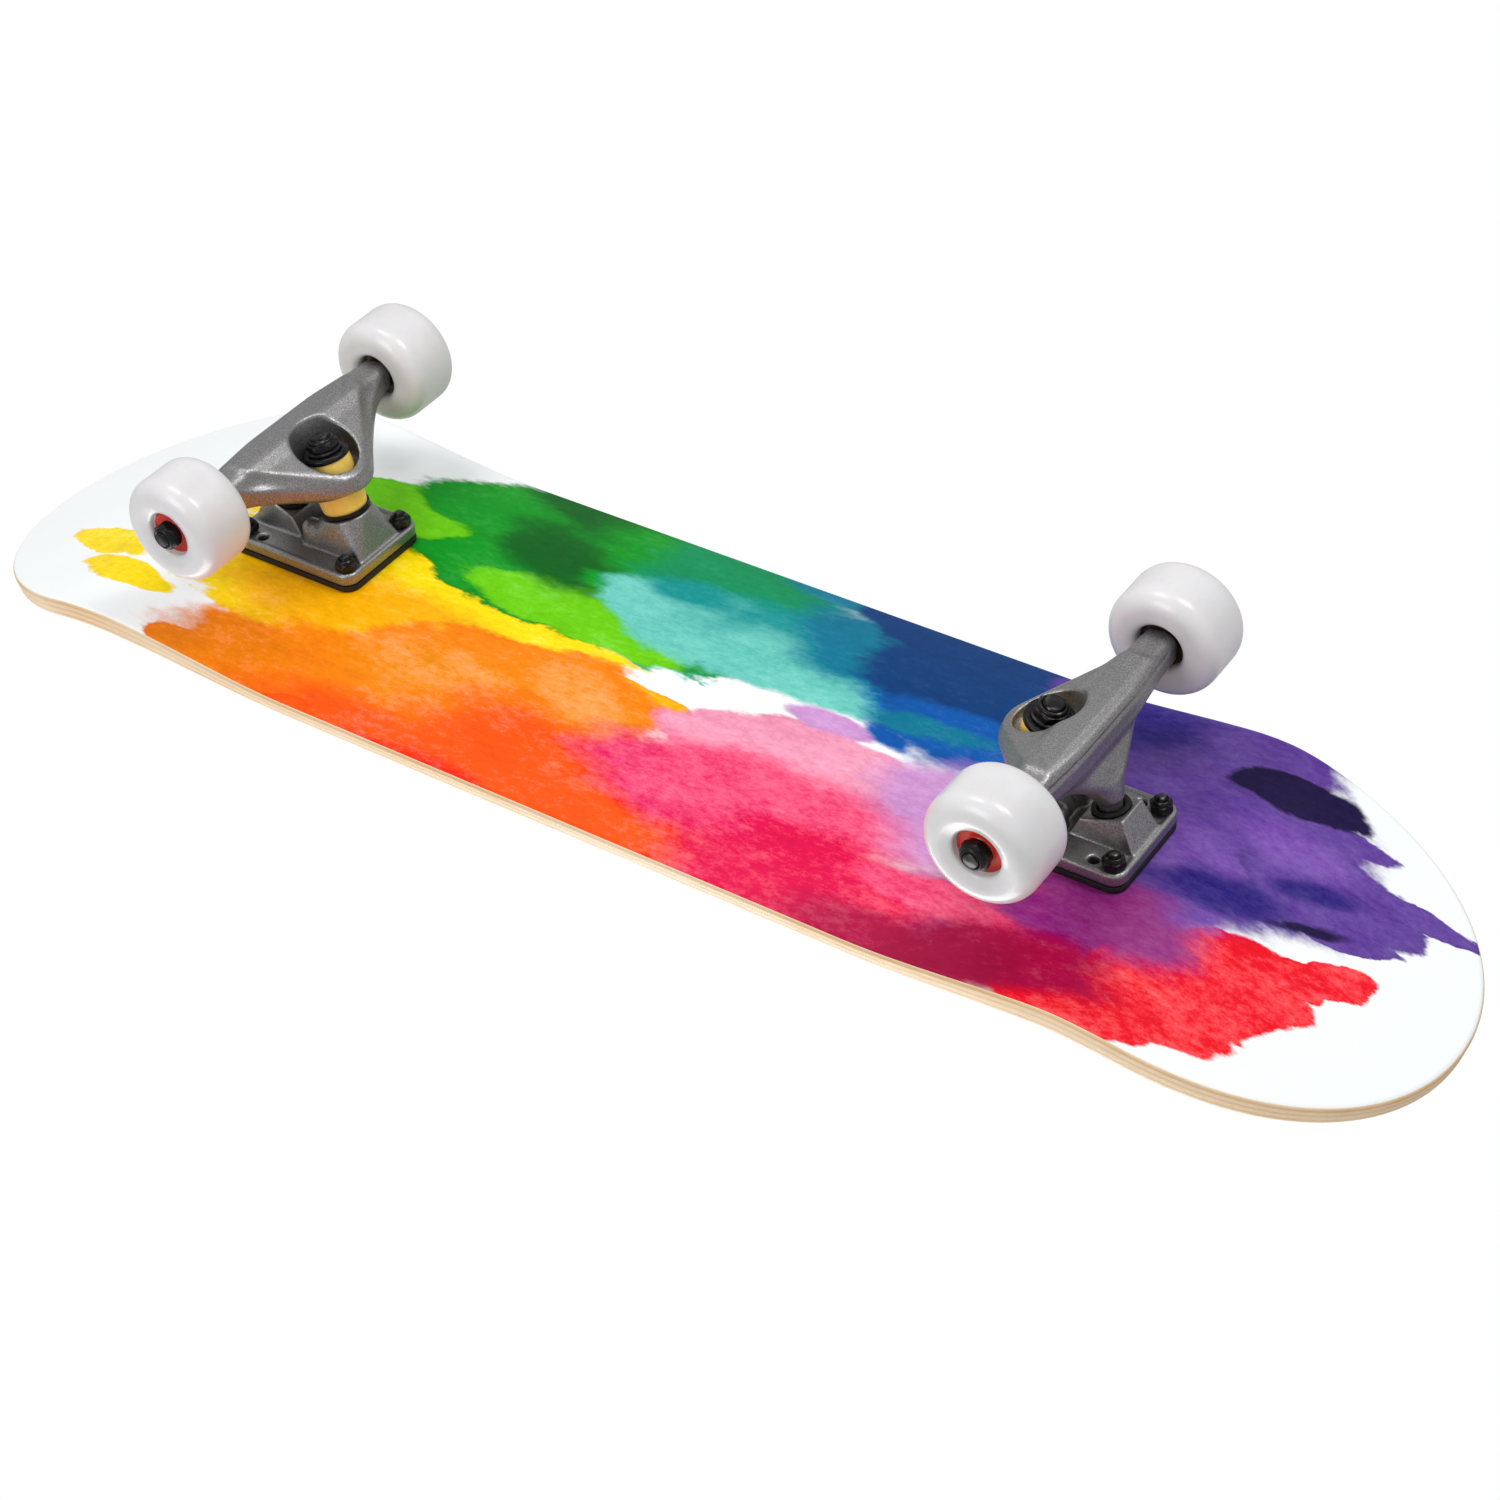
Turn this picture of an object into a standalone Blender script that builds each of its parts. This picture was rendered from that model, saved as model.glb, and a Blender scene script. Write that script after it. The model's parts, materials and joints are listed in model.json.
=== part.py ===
"""Skateboard: a 31.7 in double-kick deck on two cast trucks with four 54 mm wheels.

The board stands on its wheels on z = 0 with its nose towards +X and its left side towards +Y.
The origin is on the ground under the middle of the board's length.
Each truck is drawn in its own frame: u runs from the board's middle towards its end, v across
it and z up.  The rear truck is the front one turned half a turn about Z.
"""
import math

import bmesh
import bpy
from mathutils import Matrix, Vector

MM = 0.001
GAP = 0.3 * MM                    # clearance between pieces that rest on or pass through each other

# ---- deck ----------------------------------------------------------------------------------
DECK_LENGTH = 806.0 * MM
DECK_WIDTH = 200.0 * MM
DECK_THICK = 11.0 * MM            # seven maple plies
DECK_EDGE_ROUND = 2.5 * MM
DECK_UNDERSIDE_Z = 88.0 * MM      # middle of the underside, over the trucks
GRIP_THICK = 0.7 * MM
GRIP_INSET = 1.0 * MM
TRUCK_MID_X = -6.9 * MM           # the nose is longer than the tail, so the trucks sit behind centre
TRUCK_SPACING = 422.0 * MM        # between the middles of the two hole patterns
CONCAVE_RISE = 9.3 * MM           # how far the rails rise over the middle
CONCAVE_FLAT = 28.0 * MM          # half-width of the flat strip that the trucks bolt to
CONCAVE_FADE = (155.0 * MM, 272.0 * MM)
# each end: where the outline starts to round, where the kick starts, its bend radius and angle
NOSE = {"round_from": 254.0 * MM, "kick_from": 262.0 * MM, "bend": 140.0 * MM, "angle": 20.2}
TAIL = {"round_from": 259.0 * MM, "kick_from": 247.0 * MM, "bend": 150.0 * MM, "angle": 16.3}
OUTLINE_POWER_X = 2.3
OUTLINE_POWER_Y = 2.04

# ---- wheels, bearings and axle ---------------------------------------------------------------
WHEEL_RADIUS = 27.0 * MM
WHEEL_HALF = 17.0 * MM
WHEEL_TREAD_HALF = 8.2 * MM
WHEEL_LIP_RADIUS = 18.2 * MM
BEARING_RADIUS = 10.95 * MM
BEARING_BORE = 4.1 * MM
BEARING_WIDTH = 7.0 * MM
BEARING_OUTER_FACE = 12.0 * MM    # from the wheel's middle
AXLE_RADIUS = 3.8 * MM
AXLE_HALF = 95.3 * MM
HANGER_HALF = 62.7 * MM
WHEEL_CENTRE_V = 75.8 * MM
AXLE_NUT_FROM = 88.9 * MM
AXLE_NUT_THICK = 6.0 * MM
AXLE_NUT_ACROSS = 12.7 * MM

# ---- truck ------------------------------------------------------------------------------------
RISER_THICK = 3.2 * MM
PLATE_LENGTH = 77.0 * MM
PLATE_WIDTH = 55.0 * MM
PLATE_CORNER = 7.0 * MM
PLATE_THICK = 6.4 * MM
BOLT_U = 31.75 * MM               # 63.5 x 41.3 mm hole pattern
BOLT_V = 20.65 * MM
SPARE_HOLE_U = 22.25 * MM         # the pair of holes that a shorter pattern would use
BOLT_RADIUS = 2.3 * MM
BOLT_HEAD_RADIUS = 4.6 * MM
BOLT_HEAD_DEPTH = 3.0 * MM
LOCK_NUT_ACROSS = 9.5 * MM
LOCK_NUT_THICK = 5.6 * MM

AXLE_U = 7.7 * MM                 # the axle sits outboard of the hole pattern's middle
SEAT_POINT = Vector((-18.0, 0.0, 61.1)) * MM      # middle of the baseplate's kingpin seat
KINGPIN_LEAN = math.radians(13.0)
KINGPIN_RADIUS = 4.7 * MM
KINGPIN_DIR = Vector((math.sin(KINGPIN_LEAN), 0.0, -math.cos(KINGPIN_LEAN)))
SEAT_RADIUS = 12.6 * MM
RING_FROM = 15.5 * MM             # the hanger's ring, along the kingpin from its seat
RING_THICK = 7.2 * MM
RING_RADIUS = 19.2 * MM
RING_RECESS = 1.0 * MM            # how deep each bushing sits in the ring
RING_MIDDLE = SEAT_POINT + KINGPIN_DIR * (RING_FROM + RING_THICK / 2)
PIVOT_MOUTH = Vector((19.0, 0.0, 66.4)) * MM      # middle of the pivot cup's mouth
CUP_TILT = math.radians(13.0)
CUP_DIR = Vector((math.sin(CUP_TILT), 0.0, math.cos(CUP_TILT)))    # into the baseplate
BALL_MIDDLE = PIVOT_MOUTH + CUP_DIR * 2.8 * MM
STEER_DIR = (BALL_MIDDLE - RING_MIDDLE).normalized()   # the hanger steers about this line
PIVOT_DEPTH = 4.6 * MM            # how far the pivot reaches into its cup
PIVOT_RADIUS = 4.9 * MM
CUP_RADIUS = 8.0 * MM
CUP_INNER_RADIUS = 5.8 * MM       # leaves room for the pivot to tip as the hanger steers
CUP_FLOOR = 6.4 * MM
CUP_LIP = 1.6 * MM

KINGPIN_BLOCK_U = (-36.5 * MM, 1.0 * MM)          # the baseplate's two blocks, at their feet
KINGPIN_BLOCK_HALF_V = 15.0 * MM
PIVOT_BLOCK_U = (4.6 * MM, 36.4 * MM)
PIVOT_BLOCK_HALF_V = 11.6 * MM
# the ends of its sloping top: distance inboard of the cup's middle, and half-width
PIVOT_BLOCK_TOP = ((-10.3 * MM, 8.6 * MM), (9.6 * MM, 11.0 * MM))
PILLAR_AT = (-2.0 * MM, 9.6 * MM)
PILLAR_HEIGHT = 13.2 * MM

WING_HALF_V = 48.0 * MM           # where the wings run out into the axle beam
WEB_HALF_V = 23.0 * MM            # the thicker middle behind the ring
RIB_HALF_V = 31.0 * MM            # the rib from the beam to the pivot
RIB_END = 9.5 * MM                # from the pivot cup's mouth
STEM_RADIUS = 6.8 * MM
POCKET_RADIUS = 12.2 * MM         # round the boardside bushing
BOWL_RADIUS = 15.8 * MM           # round the roadside bushing and its washer
NUT_ROOM_RADIUS = 12.2 * MM       # beyond the bowl, round the kingpin nut
NUT_ROOM_SWING = 3.4 * MM         # extra room to each side, for steering

WASHER_RADIUS = 11.6 * MM
WASHER_THICK = 1.6 * MM
BUSHING_RADIUS = 11.2 * MM
WASHER_LIP = 1.3 * MM
ROADSIDE_WASHER_FROM = 31.9 * MM  # from the seat, along the kingpin
KINGPIN_NUT_FROM = 34.0 * MM
KINGPIN_NUT_TO = 40.8 * MM
KINGPIN_HEAD_THICK = 5.5 * MM
KINGPIN_HEAD_RADIUS = 8.0 * MM
KINGPIN_HEAD_SUNK = 2.6 * MM      # below the plate's deck side
KINGPIN_NUT_ACROSS = 14.3 * MM
KINGPIN_NUT_FLANGE = 8.7 * MM

FINE = 24                         # sides of the wheels
ROUND = 16                        # sides of bushings, washers, bearings and the hanger's ring
COARSE = 10                       # sides of bolts and their holes


# ---- helpers ----------------------------------------------------------------------------------
def material(name, colour, roughness, metallic=0.0):
    mat = bpy.data.materials.new(name)
    mat.use_nodes = True
    shader = mat.node_tree.nodes["Principled BSDF"]
    shader.inputs["Base Color"].default_value = (*colour, 1.0)
    shader.inputs["Roughness"].default_value = roughness
    shader.inputs["Metallic"].default_value = metallic
    mat.diffuse_color = (*colour, 1.0)
    return mat


def face_outwards(bm):
    bmesh.ops.recalc_face_normals(bm, faces=bm.faces)
    if bm.calc_volume(signed=True) < 0:
        bmesh.ops.reverse_faces(bm, faces=bm.faces)


def new_object(name, bm, mat=None, smooth_angle=None):
    """Make an object of the bmesh, with its faces pointing out."""
    face_outwards(bm)
    mesh = bpy.data.meshes.new(name)
    bm.to_mesh(mesh)
    bm.free()
    if mat:
        mesh.materials.append(mat)
    if smooth_angle:
        mesh.shade_smooth()
        mesh.set_sharp_from_angle(angle=math.radians(smooth_angle))
    obj = bpy.data.objects.new(name, mesh)
    bpy.context.scene.collection.objects.link(obj)
    return obj


def aim(origin, direction):
    """A matrix whose Z runs along the direction and whose X stays in the truck's side plane."""
    z = direction.normalized()
    y = Vector((0.0, 1.0, 0.0))
    if abs(z.dot(y)) > 0.9:
        y = Vector((-1.0, 0.0, 0.0))
    x = y.cross(z).normalized()
    y = z.cross(x)
    turn = Matrix((x, y, z)).transposed().to_4x4()
    return Matrix.Translation(origin) @ turn


def turned(profile, sides, matrix=Matrix()):
    """Spin a list of (radius, height) round Z.  A profile that never meets the axis is a closed ring."""
    bm = bmesh.new()
    verts = [bm.verts.new((radius, 0.0, height)) for radius, height in profile]
    edges = [bm.edges.new(pair) for pair in zip(verts, verts[1:])]
    if min(radius for radius, _ in profile) > 0:
        edges.append(bm.edges.new((verts[-1], verts[0])))
    bmesh.ops.spin(bm, geom=verts + edges, cent=(0, 0, 0), axis=(0, 0, 1), angle=math.tau,
                   steps=sides, use_merge=True)
    bmesh.ops.remove_doubles(bm, verts=bm.verts, dist=1e-6)
    bm.transform(matrix)
    return bm


def prism(outline, low, high):
    """Extrude a flat (x, y) outline from z = low to z = high."""
    bm = bmesh.new()
    face = bm.faces.new([bm.verts.new((x, y, low)) for x, y in outline])
    grown = bmesh.ops.extrude_face_region(bm, geom=[face])
    top = [v for v in grown["geom"] if isinstance(v, bmesh.types.BMVert)]
    bmesh.ops.translate(bm, verts=top, vec=(0, 0, high - low))
    return bm


def hull(points):
    bm = bmesh.new()
    for point in points:
        bm.verts.new(point)
    made = bmesh.ops.convex_hull(bm, input=bm.verts)
    spare = [v for v in made["geom_interior"] if isinstance(v, bmesh.types.BMVert)]
    bmesh.ops.delete(bm, geom=spare, context="VERTS")
    bmesh.ops.dissolve_limit(bm, angle_limit=math.radians(0.5), verts=bm.verts, edges=bm.edges)
    return bm


def polygon(radius, sides, centre=(0.0, 0.0), phase=0.0):
    turn = math.tau / sides
    return [(centre[0] + radius * math.cos(phase + i * turn),
             centre[1] + radius * math.sin(phase + i * turn)) for i in range(sides)]


def rounded_rectangle(length, width, corner, steps=4):
    points = []
    for quarter, (sx, sy) in enumerate(((1, 1), (-1, 1), (-1, -1), (1, -1))):
        cx = sx * (length / 2 - corner)
        cy = sy * (width / 2 - corner)
        for i in range(steps + 1):
            angle = (quarter + i / steps) * math.pi / 2
            points.append((cx + corner * math.cos(angle), cy + corner * math.sin(angle)))
    return points


def hex_corner(half_across):
    """How far a hexagon's corners lie from its middle."""
    return half_across / math.cos(math.pi / 6)


def disc_points(matrix, radius, height, sides=ROUND):
    return [matrix @ Vector((x, y, height)) for x, y in polygon(radius, sides)]


def combine(target, others, operation):
    """Join the others to the target, or cut them from it, for good."""
    for other in others:
        step = target.modifiers.new(operation, "BOOLEAN")
        step.operation = operation
        step.solver = "EXACT"
        step.object = other
        deps = bpy.context.evaluated_depsgraph_get()
        shaped = bpy.data.meshes.new_from_object(target.evaluated_get(deps))
        target.modifiers.clear()
        old, target.data = target.data, shaped
        bpy.data.meshes.remove(old)
        spent = other.data
        bpy.data.objects.remove(other)
        bpy.data.meshes.remove(spent)


def tidy(obj, smooth_angle):
    """Weld slivers that the booleans leave and set the shading."""
    bm = bmesh.new()
    bm.from_mesh(obj.data)
    bmesh.ops.remove_doubles(bm, verts=bm.verts, dist=0.02 * MM)
    bmesh.ops.dissolve_limit(bm, angle_limit=math.radians(0.3), verts=bm.verts, edges=bm.edges)
    face_outwards(bm)
    bm.to_mesh(obj.data)
    bm.free()
    obj.data.shade_smooth()
    obj.data.set_sharp_from_angle(angle=math.radians(smooth_angle))


def hang(obj, parent):
    """Parent an object whose mesh is drawn in the parent's frame."""
    obj.parent = parent
    return obj


def centre_on(obj, point, direction=None):
    """Move an object's own origin onto a point of its joint axis, leaving its shape in place."""
    place = aim(point, direction) if direction else Matrix.Translation(point)
    obj.data.transform(place.inverted())
    obj.matrix_basis = place
    return obj


def empty(name, matrix):
    obj = bpy.data.objects.new(name, None)
    obj.matrix_world = matrix
    bpy.context.scene.collection.objects.link(obj)
    return obj


# ---- deck -------------------------------------------------------------------------------------
def smooth_step(value, low, high):
    t = min(max((value - low) / (high - low), 0.0), 1.0)
    return t * t * (3.0 - 2.0 * t)


def kick_height(run, bend, angle):
    """Height gained after running past the start of a kick: an arc, then a straight slope."""
    slope = math.radians(angle)
    arc = bend * math.sin(slope)
    if run <= 0:
        return 0.0
    if run < arc:
        return bend - math.sqrt(bend * bend - run * run)
    return bend * (1 - math.cos(slope)) + (run - arc) * math.tan(slope)


def underside(x, y):
    """Height of the deck's underside."""
    run = x - TRUCK_MID_X
    rise = kick_height(run - NOSE["kick_from"], NOSE["bend"], NOSE["angle"])
    rise += kick_height(-run - TAIL["kick_from"], TAIL["bend"], TAIL["angle"])
    off_flat = max(0.0, abs(y) - CONCAVE_FLAT) / (DECK_WIDTH / 2 - CONCAVE_FLAT)
    concave = CONCAVE_RISE * off_flat ** 2 * (1 - smooth_step(abs(run), *CONCAVE_FADE))
    return DECK_UNDERSIDE_Z + rise + concave


def deck_point(x, y, depth):
    """A point that lies depth above the underside, square to it."""
    step = 1.0 * MM
    slope_x = (underside(x + step, y) - underside(x - step, y)) / (2 * step)
    slope_y = (underside(x, y + step) - underside(x, y - step)) / (2 * step)
    reach = depth / math.sqrt(1 + slope_x * slope_x + slope_y * slope_y)
    return Vector((x - reach * slope_x, y - reach * slope_y, underside(x, y) + reach))


def outline_stations(inset, steps_end=11, steps_middle=15):
    """(x, half-width) along the board from the tail's tip to the nose's tip."""
    tail_from = TRUCK_MID_X - TAIL["round_from"]
    nose_from = TRUCK_MID_X + NOSE["round_from"]
    tip = DECK_LENGTH / 2 - inset
    half = DECK_WIDTH / 2 - inset

    def end(start, reach):
        points = []
        for i in range(steps_end + 1):
            angle = math.pi / 2 * i / steps_end
            along = math.sin(angle) ** (2 / OUTLINE_POWER_X)
            across = max(math.cos(angle), 0.0) ** (2 / OUTLINE_POWER_Y)
            points.append((start + (reach - start) * along, half * across))
        points[-1] = (reach, 0.0)
        return points

    tail = end(tail_from, -tip)[::-1]
    nose = end(nose_from, tip)
    middle = [(tail_from + (nose_from - tail_from) * i / steps_middle, half)
              for i in range(1, steps_middle)]
    return tail + middle + nose


ACROSS = (-1.0, -0.8, -0.55, -0.28, 0.0, 0.28, 0.55, 0.8, 1.0)


def deck_grid(bm, inset, depth):
    """Rows of vertices over the board's plan at one depth; the two tips are single vertices."""
    rows = []
    for x, half in outline_stations(inset):
        if half == 0.0:
            rows.append([bm.verts.new(deck_point(x, 0.0, depth))])
        else:
            rows.append([bm.verts.new(deck_point(x, half * share, depth)) for share in ACROSS])
    return rows


def fill_grid(bm, rows):
    for a, b in zip(rows, rows[1:]):
        if len(a) == 1:
            for c, d in zip(b, b[1:]):
                bm.faces.new((a[0], c, d))
        elif len(b) == 1:
            for c, d in zip(a, a[1:]):
                bm.faces.new((b[0], c, d))
        else:
            for i in range(len(a) - 1):
                bm.faces.new((a[i], a[i + 1], b[i + 1], b[i]))


def rim(rows):
    """The grid's border as one closed loop."""
    return [row[-1] for row in rows] + [row[0] for row in rows[-2:0:-1]]


def rim_ring(bm, inset, depth):
    stations = outline_stations(inset)
    loop = [(x, half) for x, half in stations] + [(x, -half) for x, half in stations[-2:0:-1]]
    return [bm.verts.new(deck_point(x, y, depth)) for x, y in loop]


def deck_slab(low, high, inset, edge):
    """A closed board between two depths, with its edges eased by the width edge."""
    bm = bmesh.new()
    bottom = deck_grid(bm, inset + edge, low)
    top = deck_grid(bm, inset + edge, high)
    fill_grid(bm, bottom)
    fill_grid(bm, top)
    loops = [rim(bottom)]
    if edge:
        loops.append(rim_ring(bm, inset + 0.3 * edge, low + 0.25 * edge))
        loops.append(rim_ring(bm, inset, low + 0.9 * edge))
        loops.append(rim_ring(bm, inset, high - 0.9 * edge))
        loops.append(rim_ring(bm, inset + 0.3 * edge, high - 0.25 * edge))
    loops.append(rim(top))
    for a, b in zip(loops, loops[1:]):
        for i in range(len(a)):
            j = (i + 1) % len(a)
            bm.faces.new((a[i], a[j], b[j], b[i]))
    return bm


def bolt_places():
    """World x and y of the eight deck bolts, with each one's truck and corner."""
    places = []
    for truck, turn in (("front", 1), ("rear", -1)):
        for end, u in (("outer", BOLT_U), ("inner", -BOLT_U)):
            for side, y in (("left", BOLT_V), ("right", -BOLT_V)):
                x = TRUCK_MID_X + turn * (TRUCK_SPACING / 2 + u)
                places.append((f"{truck}_{end}_{side}", x, y))
    return places


DECK_TOP_Z = DECK_UNDERSIDE_Z + DECK_THICK + GAP + GRIP_THICK
PLATE_TOP_Z = DECK_UNDERSIDE_Z - GAP - RISER_THICK - GAP
PLATE_FACE_Z = PLATE_TOP_Z - PLATE_THICK
LOCK_NUT_TOP_Z = PLATE_FACE_Z - GAP
BOLT_END_Z = LOCK_NUT_TOP_Z - LOCK_NUT_THICK - 1.4 * MM


def bolt_profile(grow):
    """A countersunk bolt from its tip up to its flat head, let out by grow for its hole."""
    head = DECK_TOP_Z + (5 * MM if grow else 0.0)
    neck = DECK_TOP_Z - BOLT_HEAD_DEPTH
    return [(0.0, BOLT_END_Z - (5 * MM if grow else 0.0)),
            (BOLT_RADIUS + grow, BOLT_END_Z - (5 * MM if grow else 0.0)),
            (BOLT_RADIUS + grow, neck - grow * 0.4),
            (BOLT_HEAD_RADIUS + grow, DECK_TOP_Z - 0.4 * MM),
            (BOLT_HEAD_RADIUS + grow, head),
            (0.0, head)]


def drill_bolts(obj):
    cutters = []
    for name, x, y in bolt_places():
        shape = turned(bolt_profile(GAP), COARSE, Matrix.Translation((x, y, 0)))
        cutters.append(new_object("cut_" + name, shape))
    combine(obj, cutters, "DIFFERENCE")


def make_deck(wood, grit):
    deck = new_object("deck", deck_slab(0.0, DECK_THICK, 0.0, DECK_EDGE_ROUND), wood)
    drill_bolts(deck)
    tidy(deck, 40)
    low = DECK_THICK + GAP
    grip = new_object("grip_tape", deck_slab(low, low + GRIP_THICK, DECK_EDGE_ROUND + GRIP_INSET, 0.0),
                      grit)
    drill_bolts(grip)
    tidy(grip, 40)


def make_bolts(steel, black):
    for name, x, y in bolt_places():
        place = Matrix.Translation((x, y, 0))
        new_object("bolt_" + name, turned(bolt_profile(0.0), COARSE, place), steel, 35)
        low = LOCK_NUT_TOP_Z - LOCK_NUT_THICK
        nut = new_object("nut_" + name, lock_nut(low, place), black)
        bore = turned([(0, low - MM), (BOLT_RADIUS + GAP, low - MM),
                       (BOLT_RADIUS + GAP, PLATE_FACE_Z), (0, PLATE_FACE_Z)], COARSE, place)
        combine(nut, [new_object("bore", bore)], "DIFFERENCE")
        tidy(nut, 35)


def lock_nut(low, place):
    """A hexagon with a narrower round collar at its free end."""
    half = LOCK_NUT_ACROSS / 2
    collar = low + 1.6 * MM
    points = [Vector((x, y, z)) for z in (collar, LOCK_NUT_TOP_Z)
              for x, y in polygon(hex_corner(half), 6)]
    points += [Vector((x, y, low)) for x, y in polygon(half - 0.9 * MM, COARSE)]
    bm = hull(points)
    bm.transform(place)
    return bm


# ---- trucks, drawn in the truck's frame --------------------------------------------------------
def to_seat(height):
    """The kingpin's frame, moved along the kingpin from the baseplate's seat."""
    return aim(SEAT_POINT + KINGPIN_DIR * height, KINGPIN_DIR)


def make_riser(name, rubber):
    top = DECK_UNDERSIDE_Z - GAP
    outline = rounded_rectangle(PLATE_LENGTH, PLATE_WIDTH, PLATE_CORNER)
    riser = new_object(name, prism(outline, top - RISER_THICK, top), rubber)
    holes = []
    for u in (-BOLT_U, BOLT_U):
        for v in (-BOLT_V, BOLT_V):
            hole = polygon(BOLT_RADIUS + GAP, COARSE, (u, v))
            holes.append(new_object("hole", prism(hole, top - RISER_THICK - MM, top + MM)))
    combine(riser, holes, "DIFFERENCE")
    tidy(riser, 35)
    return riser


def make_baseplate(name, metal):
    """A bolted plate with a sloping block for the kingpin and another for the pivot cup."""
    full = rounded_rectangle(PLATE_LENGTH, PLATE_WIDTH, PLATE_CORNER)
    eased = rounded_rectangle(PLATE_LENGTH - 2 * MM, PLATE_WIDTH - 2 * MM, PLATE_CORNER - MM)
    bevel_z = PLATE_FACE_Z + 1.2 * MM
    points = [Vector((x, y, z)) for z in (PLATE_TOP_Z, bevel_z) for x, y in full]
    points += [Vector((x, y, PLATE_FACE_Z)) for x, y in eased]
    plate = new_object(name, hull(points), metal)

    root_z = PLATE_FACE_Z + MM

    def foot(block_u, half_v):
        return [Vector((u, v, root_z)) for u in block_u for v in (-half_v, half_v)]

    seat = disc_points(to_seat(0.0), SEAT_RADIUS, 0.0)
    block = new_object("block", hull(seat + foot(KINGPIN_BLOCK_U, KINGPIN_BLOCK_HALF_V)))
    mouth = aim(PIVOT_MOUTH, -CUP_DIR)
    top = [mouth @ Vector((x, v, 0.0)) for x, half_v in PIVOT_BLOCK_TOP for v in (-half_v, half_v)]
    pivot_block = new_object("pivot_block", hull(top + foot(PIVOT_BLOCK_U, PIVOT_BLOCK_HALF_V)))

    pillars = []
    for side in (-1, 1):
        place = Matrix.Translation((PILLAR_AT[0], side * PILLAR_AT[1], root_z))
        shape = [(0.0, 0.0), (5.4 * MM, 0.0), (5.2 * MM, -9 * MM), (3.8 * MM, -12 * MM),
                 (0.0, -PILLAR_HEIGHT)]
        pillars.append(new_object("pillar", turned(shape, COARSE, place)))
    combine(plate, [block, pivot_block] + pillars, "UNION")

    pin = [(0.0, -40 * MM), (KINGPIN_RADIUS + GAP, -40 * MM), (KINGPIN_RADIUS + GAP, 10 * MM),
           (0.0, 10 * MM)]
    head_low = kingpin_head_from() + KINGPIN_HEAD_THICK + GAP
    head_room = KINGPIN_HEAD_RADIUS + 1.2 * MM
    head = [(0.0, -40 * MM), (head_room, -40 * MM), (head_room, head_low), (0.0, head_low)]
    cup = [(0.0, -CUP_FLOOR - GAP), (CUP_RADIUS + GAP, -CUP_FLOOR - GAP),
           (CUP_RADIUS + GAP, 20 * MM), (0.0, 20 * MM)]
    cutters = [new_object("pin", turned(pin, ROUND, to_seat(0.0))),
               new_object("head", turned(head, COARSE, to_seat(0.0))),
               new_object("cup", turned(cup, ROUND, mouth))]
    for u in (-BOLT_U, BOLT_U, SPARE_HOLE_U):
        for v in (-BOLT_V, BOLT_V):
            hole = polygon(BOLT_RADIUS + GAP, COARSE, (u, v))
            cutters.append(new_object("hole", prism(hole, PLATE_FACE_Z - MM, PLATE_TOP_Z + MM)))
    combine(plate, cutters, "DIFFERENCE")
    tidy(plate, 30)
    return plate


def kingpin_head_from():
    """How far back along the kingpin its head starts, just inside the plate's deck side."""
    drop = PLATE_TOP_Z - SEAT_POINT.z - KINGPIN_HEAD_SUNK
    return -drop / math.cos(KINGPIN_LEAN)


def make_kingpin(name, steel):
    start = kingpin_head_from()
    tip = KINGPIN_NUT_TO + 1.6 * MM
    neck = start + KINGPIN_HEAD_THICK
    ease = 0.9 * MM
    shape = [(0.0, start), (KINGPIN_HEAD_RADIUS, start), (KINGPIN_HEAD_RADIUS, neck),
             (KINGPIN_RADIUS, neck), (KINGPIN_RADIUS, tip - ease), (KINGPIN_RADIUS - ease, tip),
             (0.0, tip)]
    return new_object(name, turned(shape, COARSE, to_seat(0.0)), steel, 35)


def make_kingpin_nut(name, black):
    """A hexagon on a round flange, with a collar at its free end."""
    flange = KINGPIN_NUT_FROM + 1.2 * MM
    collar = KINGPIN_NUT_TO - 1.8 * MM
    half = KINGPIN_NUT_ACROSS / 2
    points = [Vector((x, y, z)) for z in (flange, collar) for x, y in polygon(hex_corner(half), 6)]
    points += [Vector((x, y, KINGPIN_NUT_TO)) for x, y in polygon(half - MM, COARSE)]
    nut = new_object(name, hull(points), black)
    rim_points = [Vector((x, y, z)) for z in (KINGPIN_NUT_FROM, flange + 0.4 * MM)
                  for x, y in polygon(KINGPIN_NUT_FLANGE, ROUND)]
    combine(nut, [new_object("flange", hull(rim_points))], "UNION")
    bore = [(0, 0), (KINGPIN_RADIUS + GAP, 0), (KINGPIN_RADIUS + GAP, 60 * MM), (0, 60 * MM)]
    combine(nut, [new_object("bore", turned(bore, COARSE))], "DIFFERENCE")
    tidy(nut, 30)
    nut.data.transform(to_seat(0.0))
    return nut


def ring_piece(name, mat, profile, matrix, sides=ROUND):
    return new_object(name, turned(profile, sides, matrix), mat, 35)


def make_cup_washer(name, steel, low, opens):
    """A dished washer; opens is +1 where its rim stands away from the baseplate."""
    bore = KINGPIN_RADIUS + GAP
    flat = WASHER_THICK if opens > 0 else 0.0
    back = 0.0 if opens > 0 else WASHER_THICK
    lip = flat + opens * WASHER_LIP
    shape = [(bore, low + back), (WASHER_RADIUS, low + back), (WASHER_RADIUS + 0.6 * MM, low + lip),
             (WASHER_RADIUS, low + lip), (WASHER_RADIUS - 0.2 * MM, low + flat), (bore, low + flat)]
    return ring_piece(name, steel, shape, to_seat(0.0))


def make_bushing(name, rubber, low, high, radius_low, radius_high):
    bore = KINGPIN_RADIUS + GAP
    middle = (low + high) / 2
    belly = (radius_low + radius_high) / 2 + 0.15 * MM
    shape = [(bore, low), (radius_low - 0.8 * MM, low), (radius_low, low + 0.8 * MM), (belly, middle),
             (radius_high, high - 0.8 * MM), (radius_high - 0.8 * MM, high), (bore, high)]
    return ring_piece(name, rubber, shape, to_seat(0.0))


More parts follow.
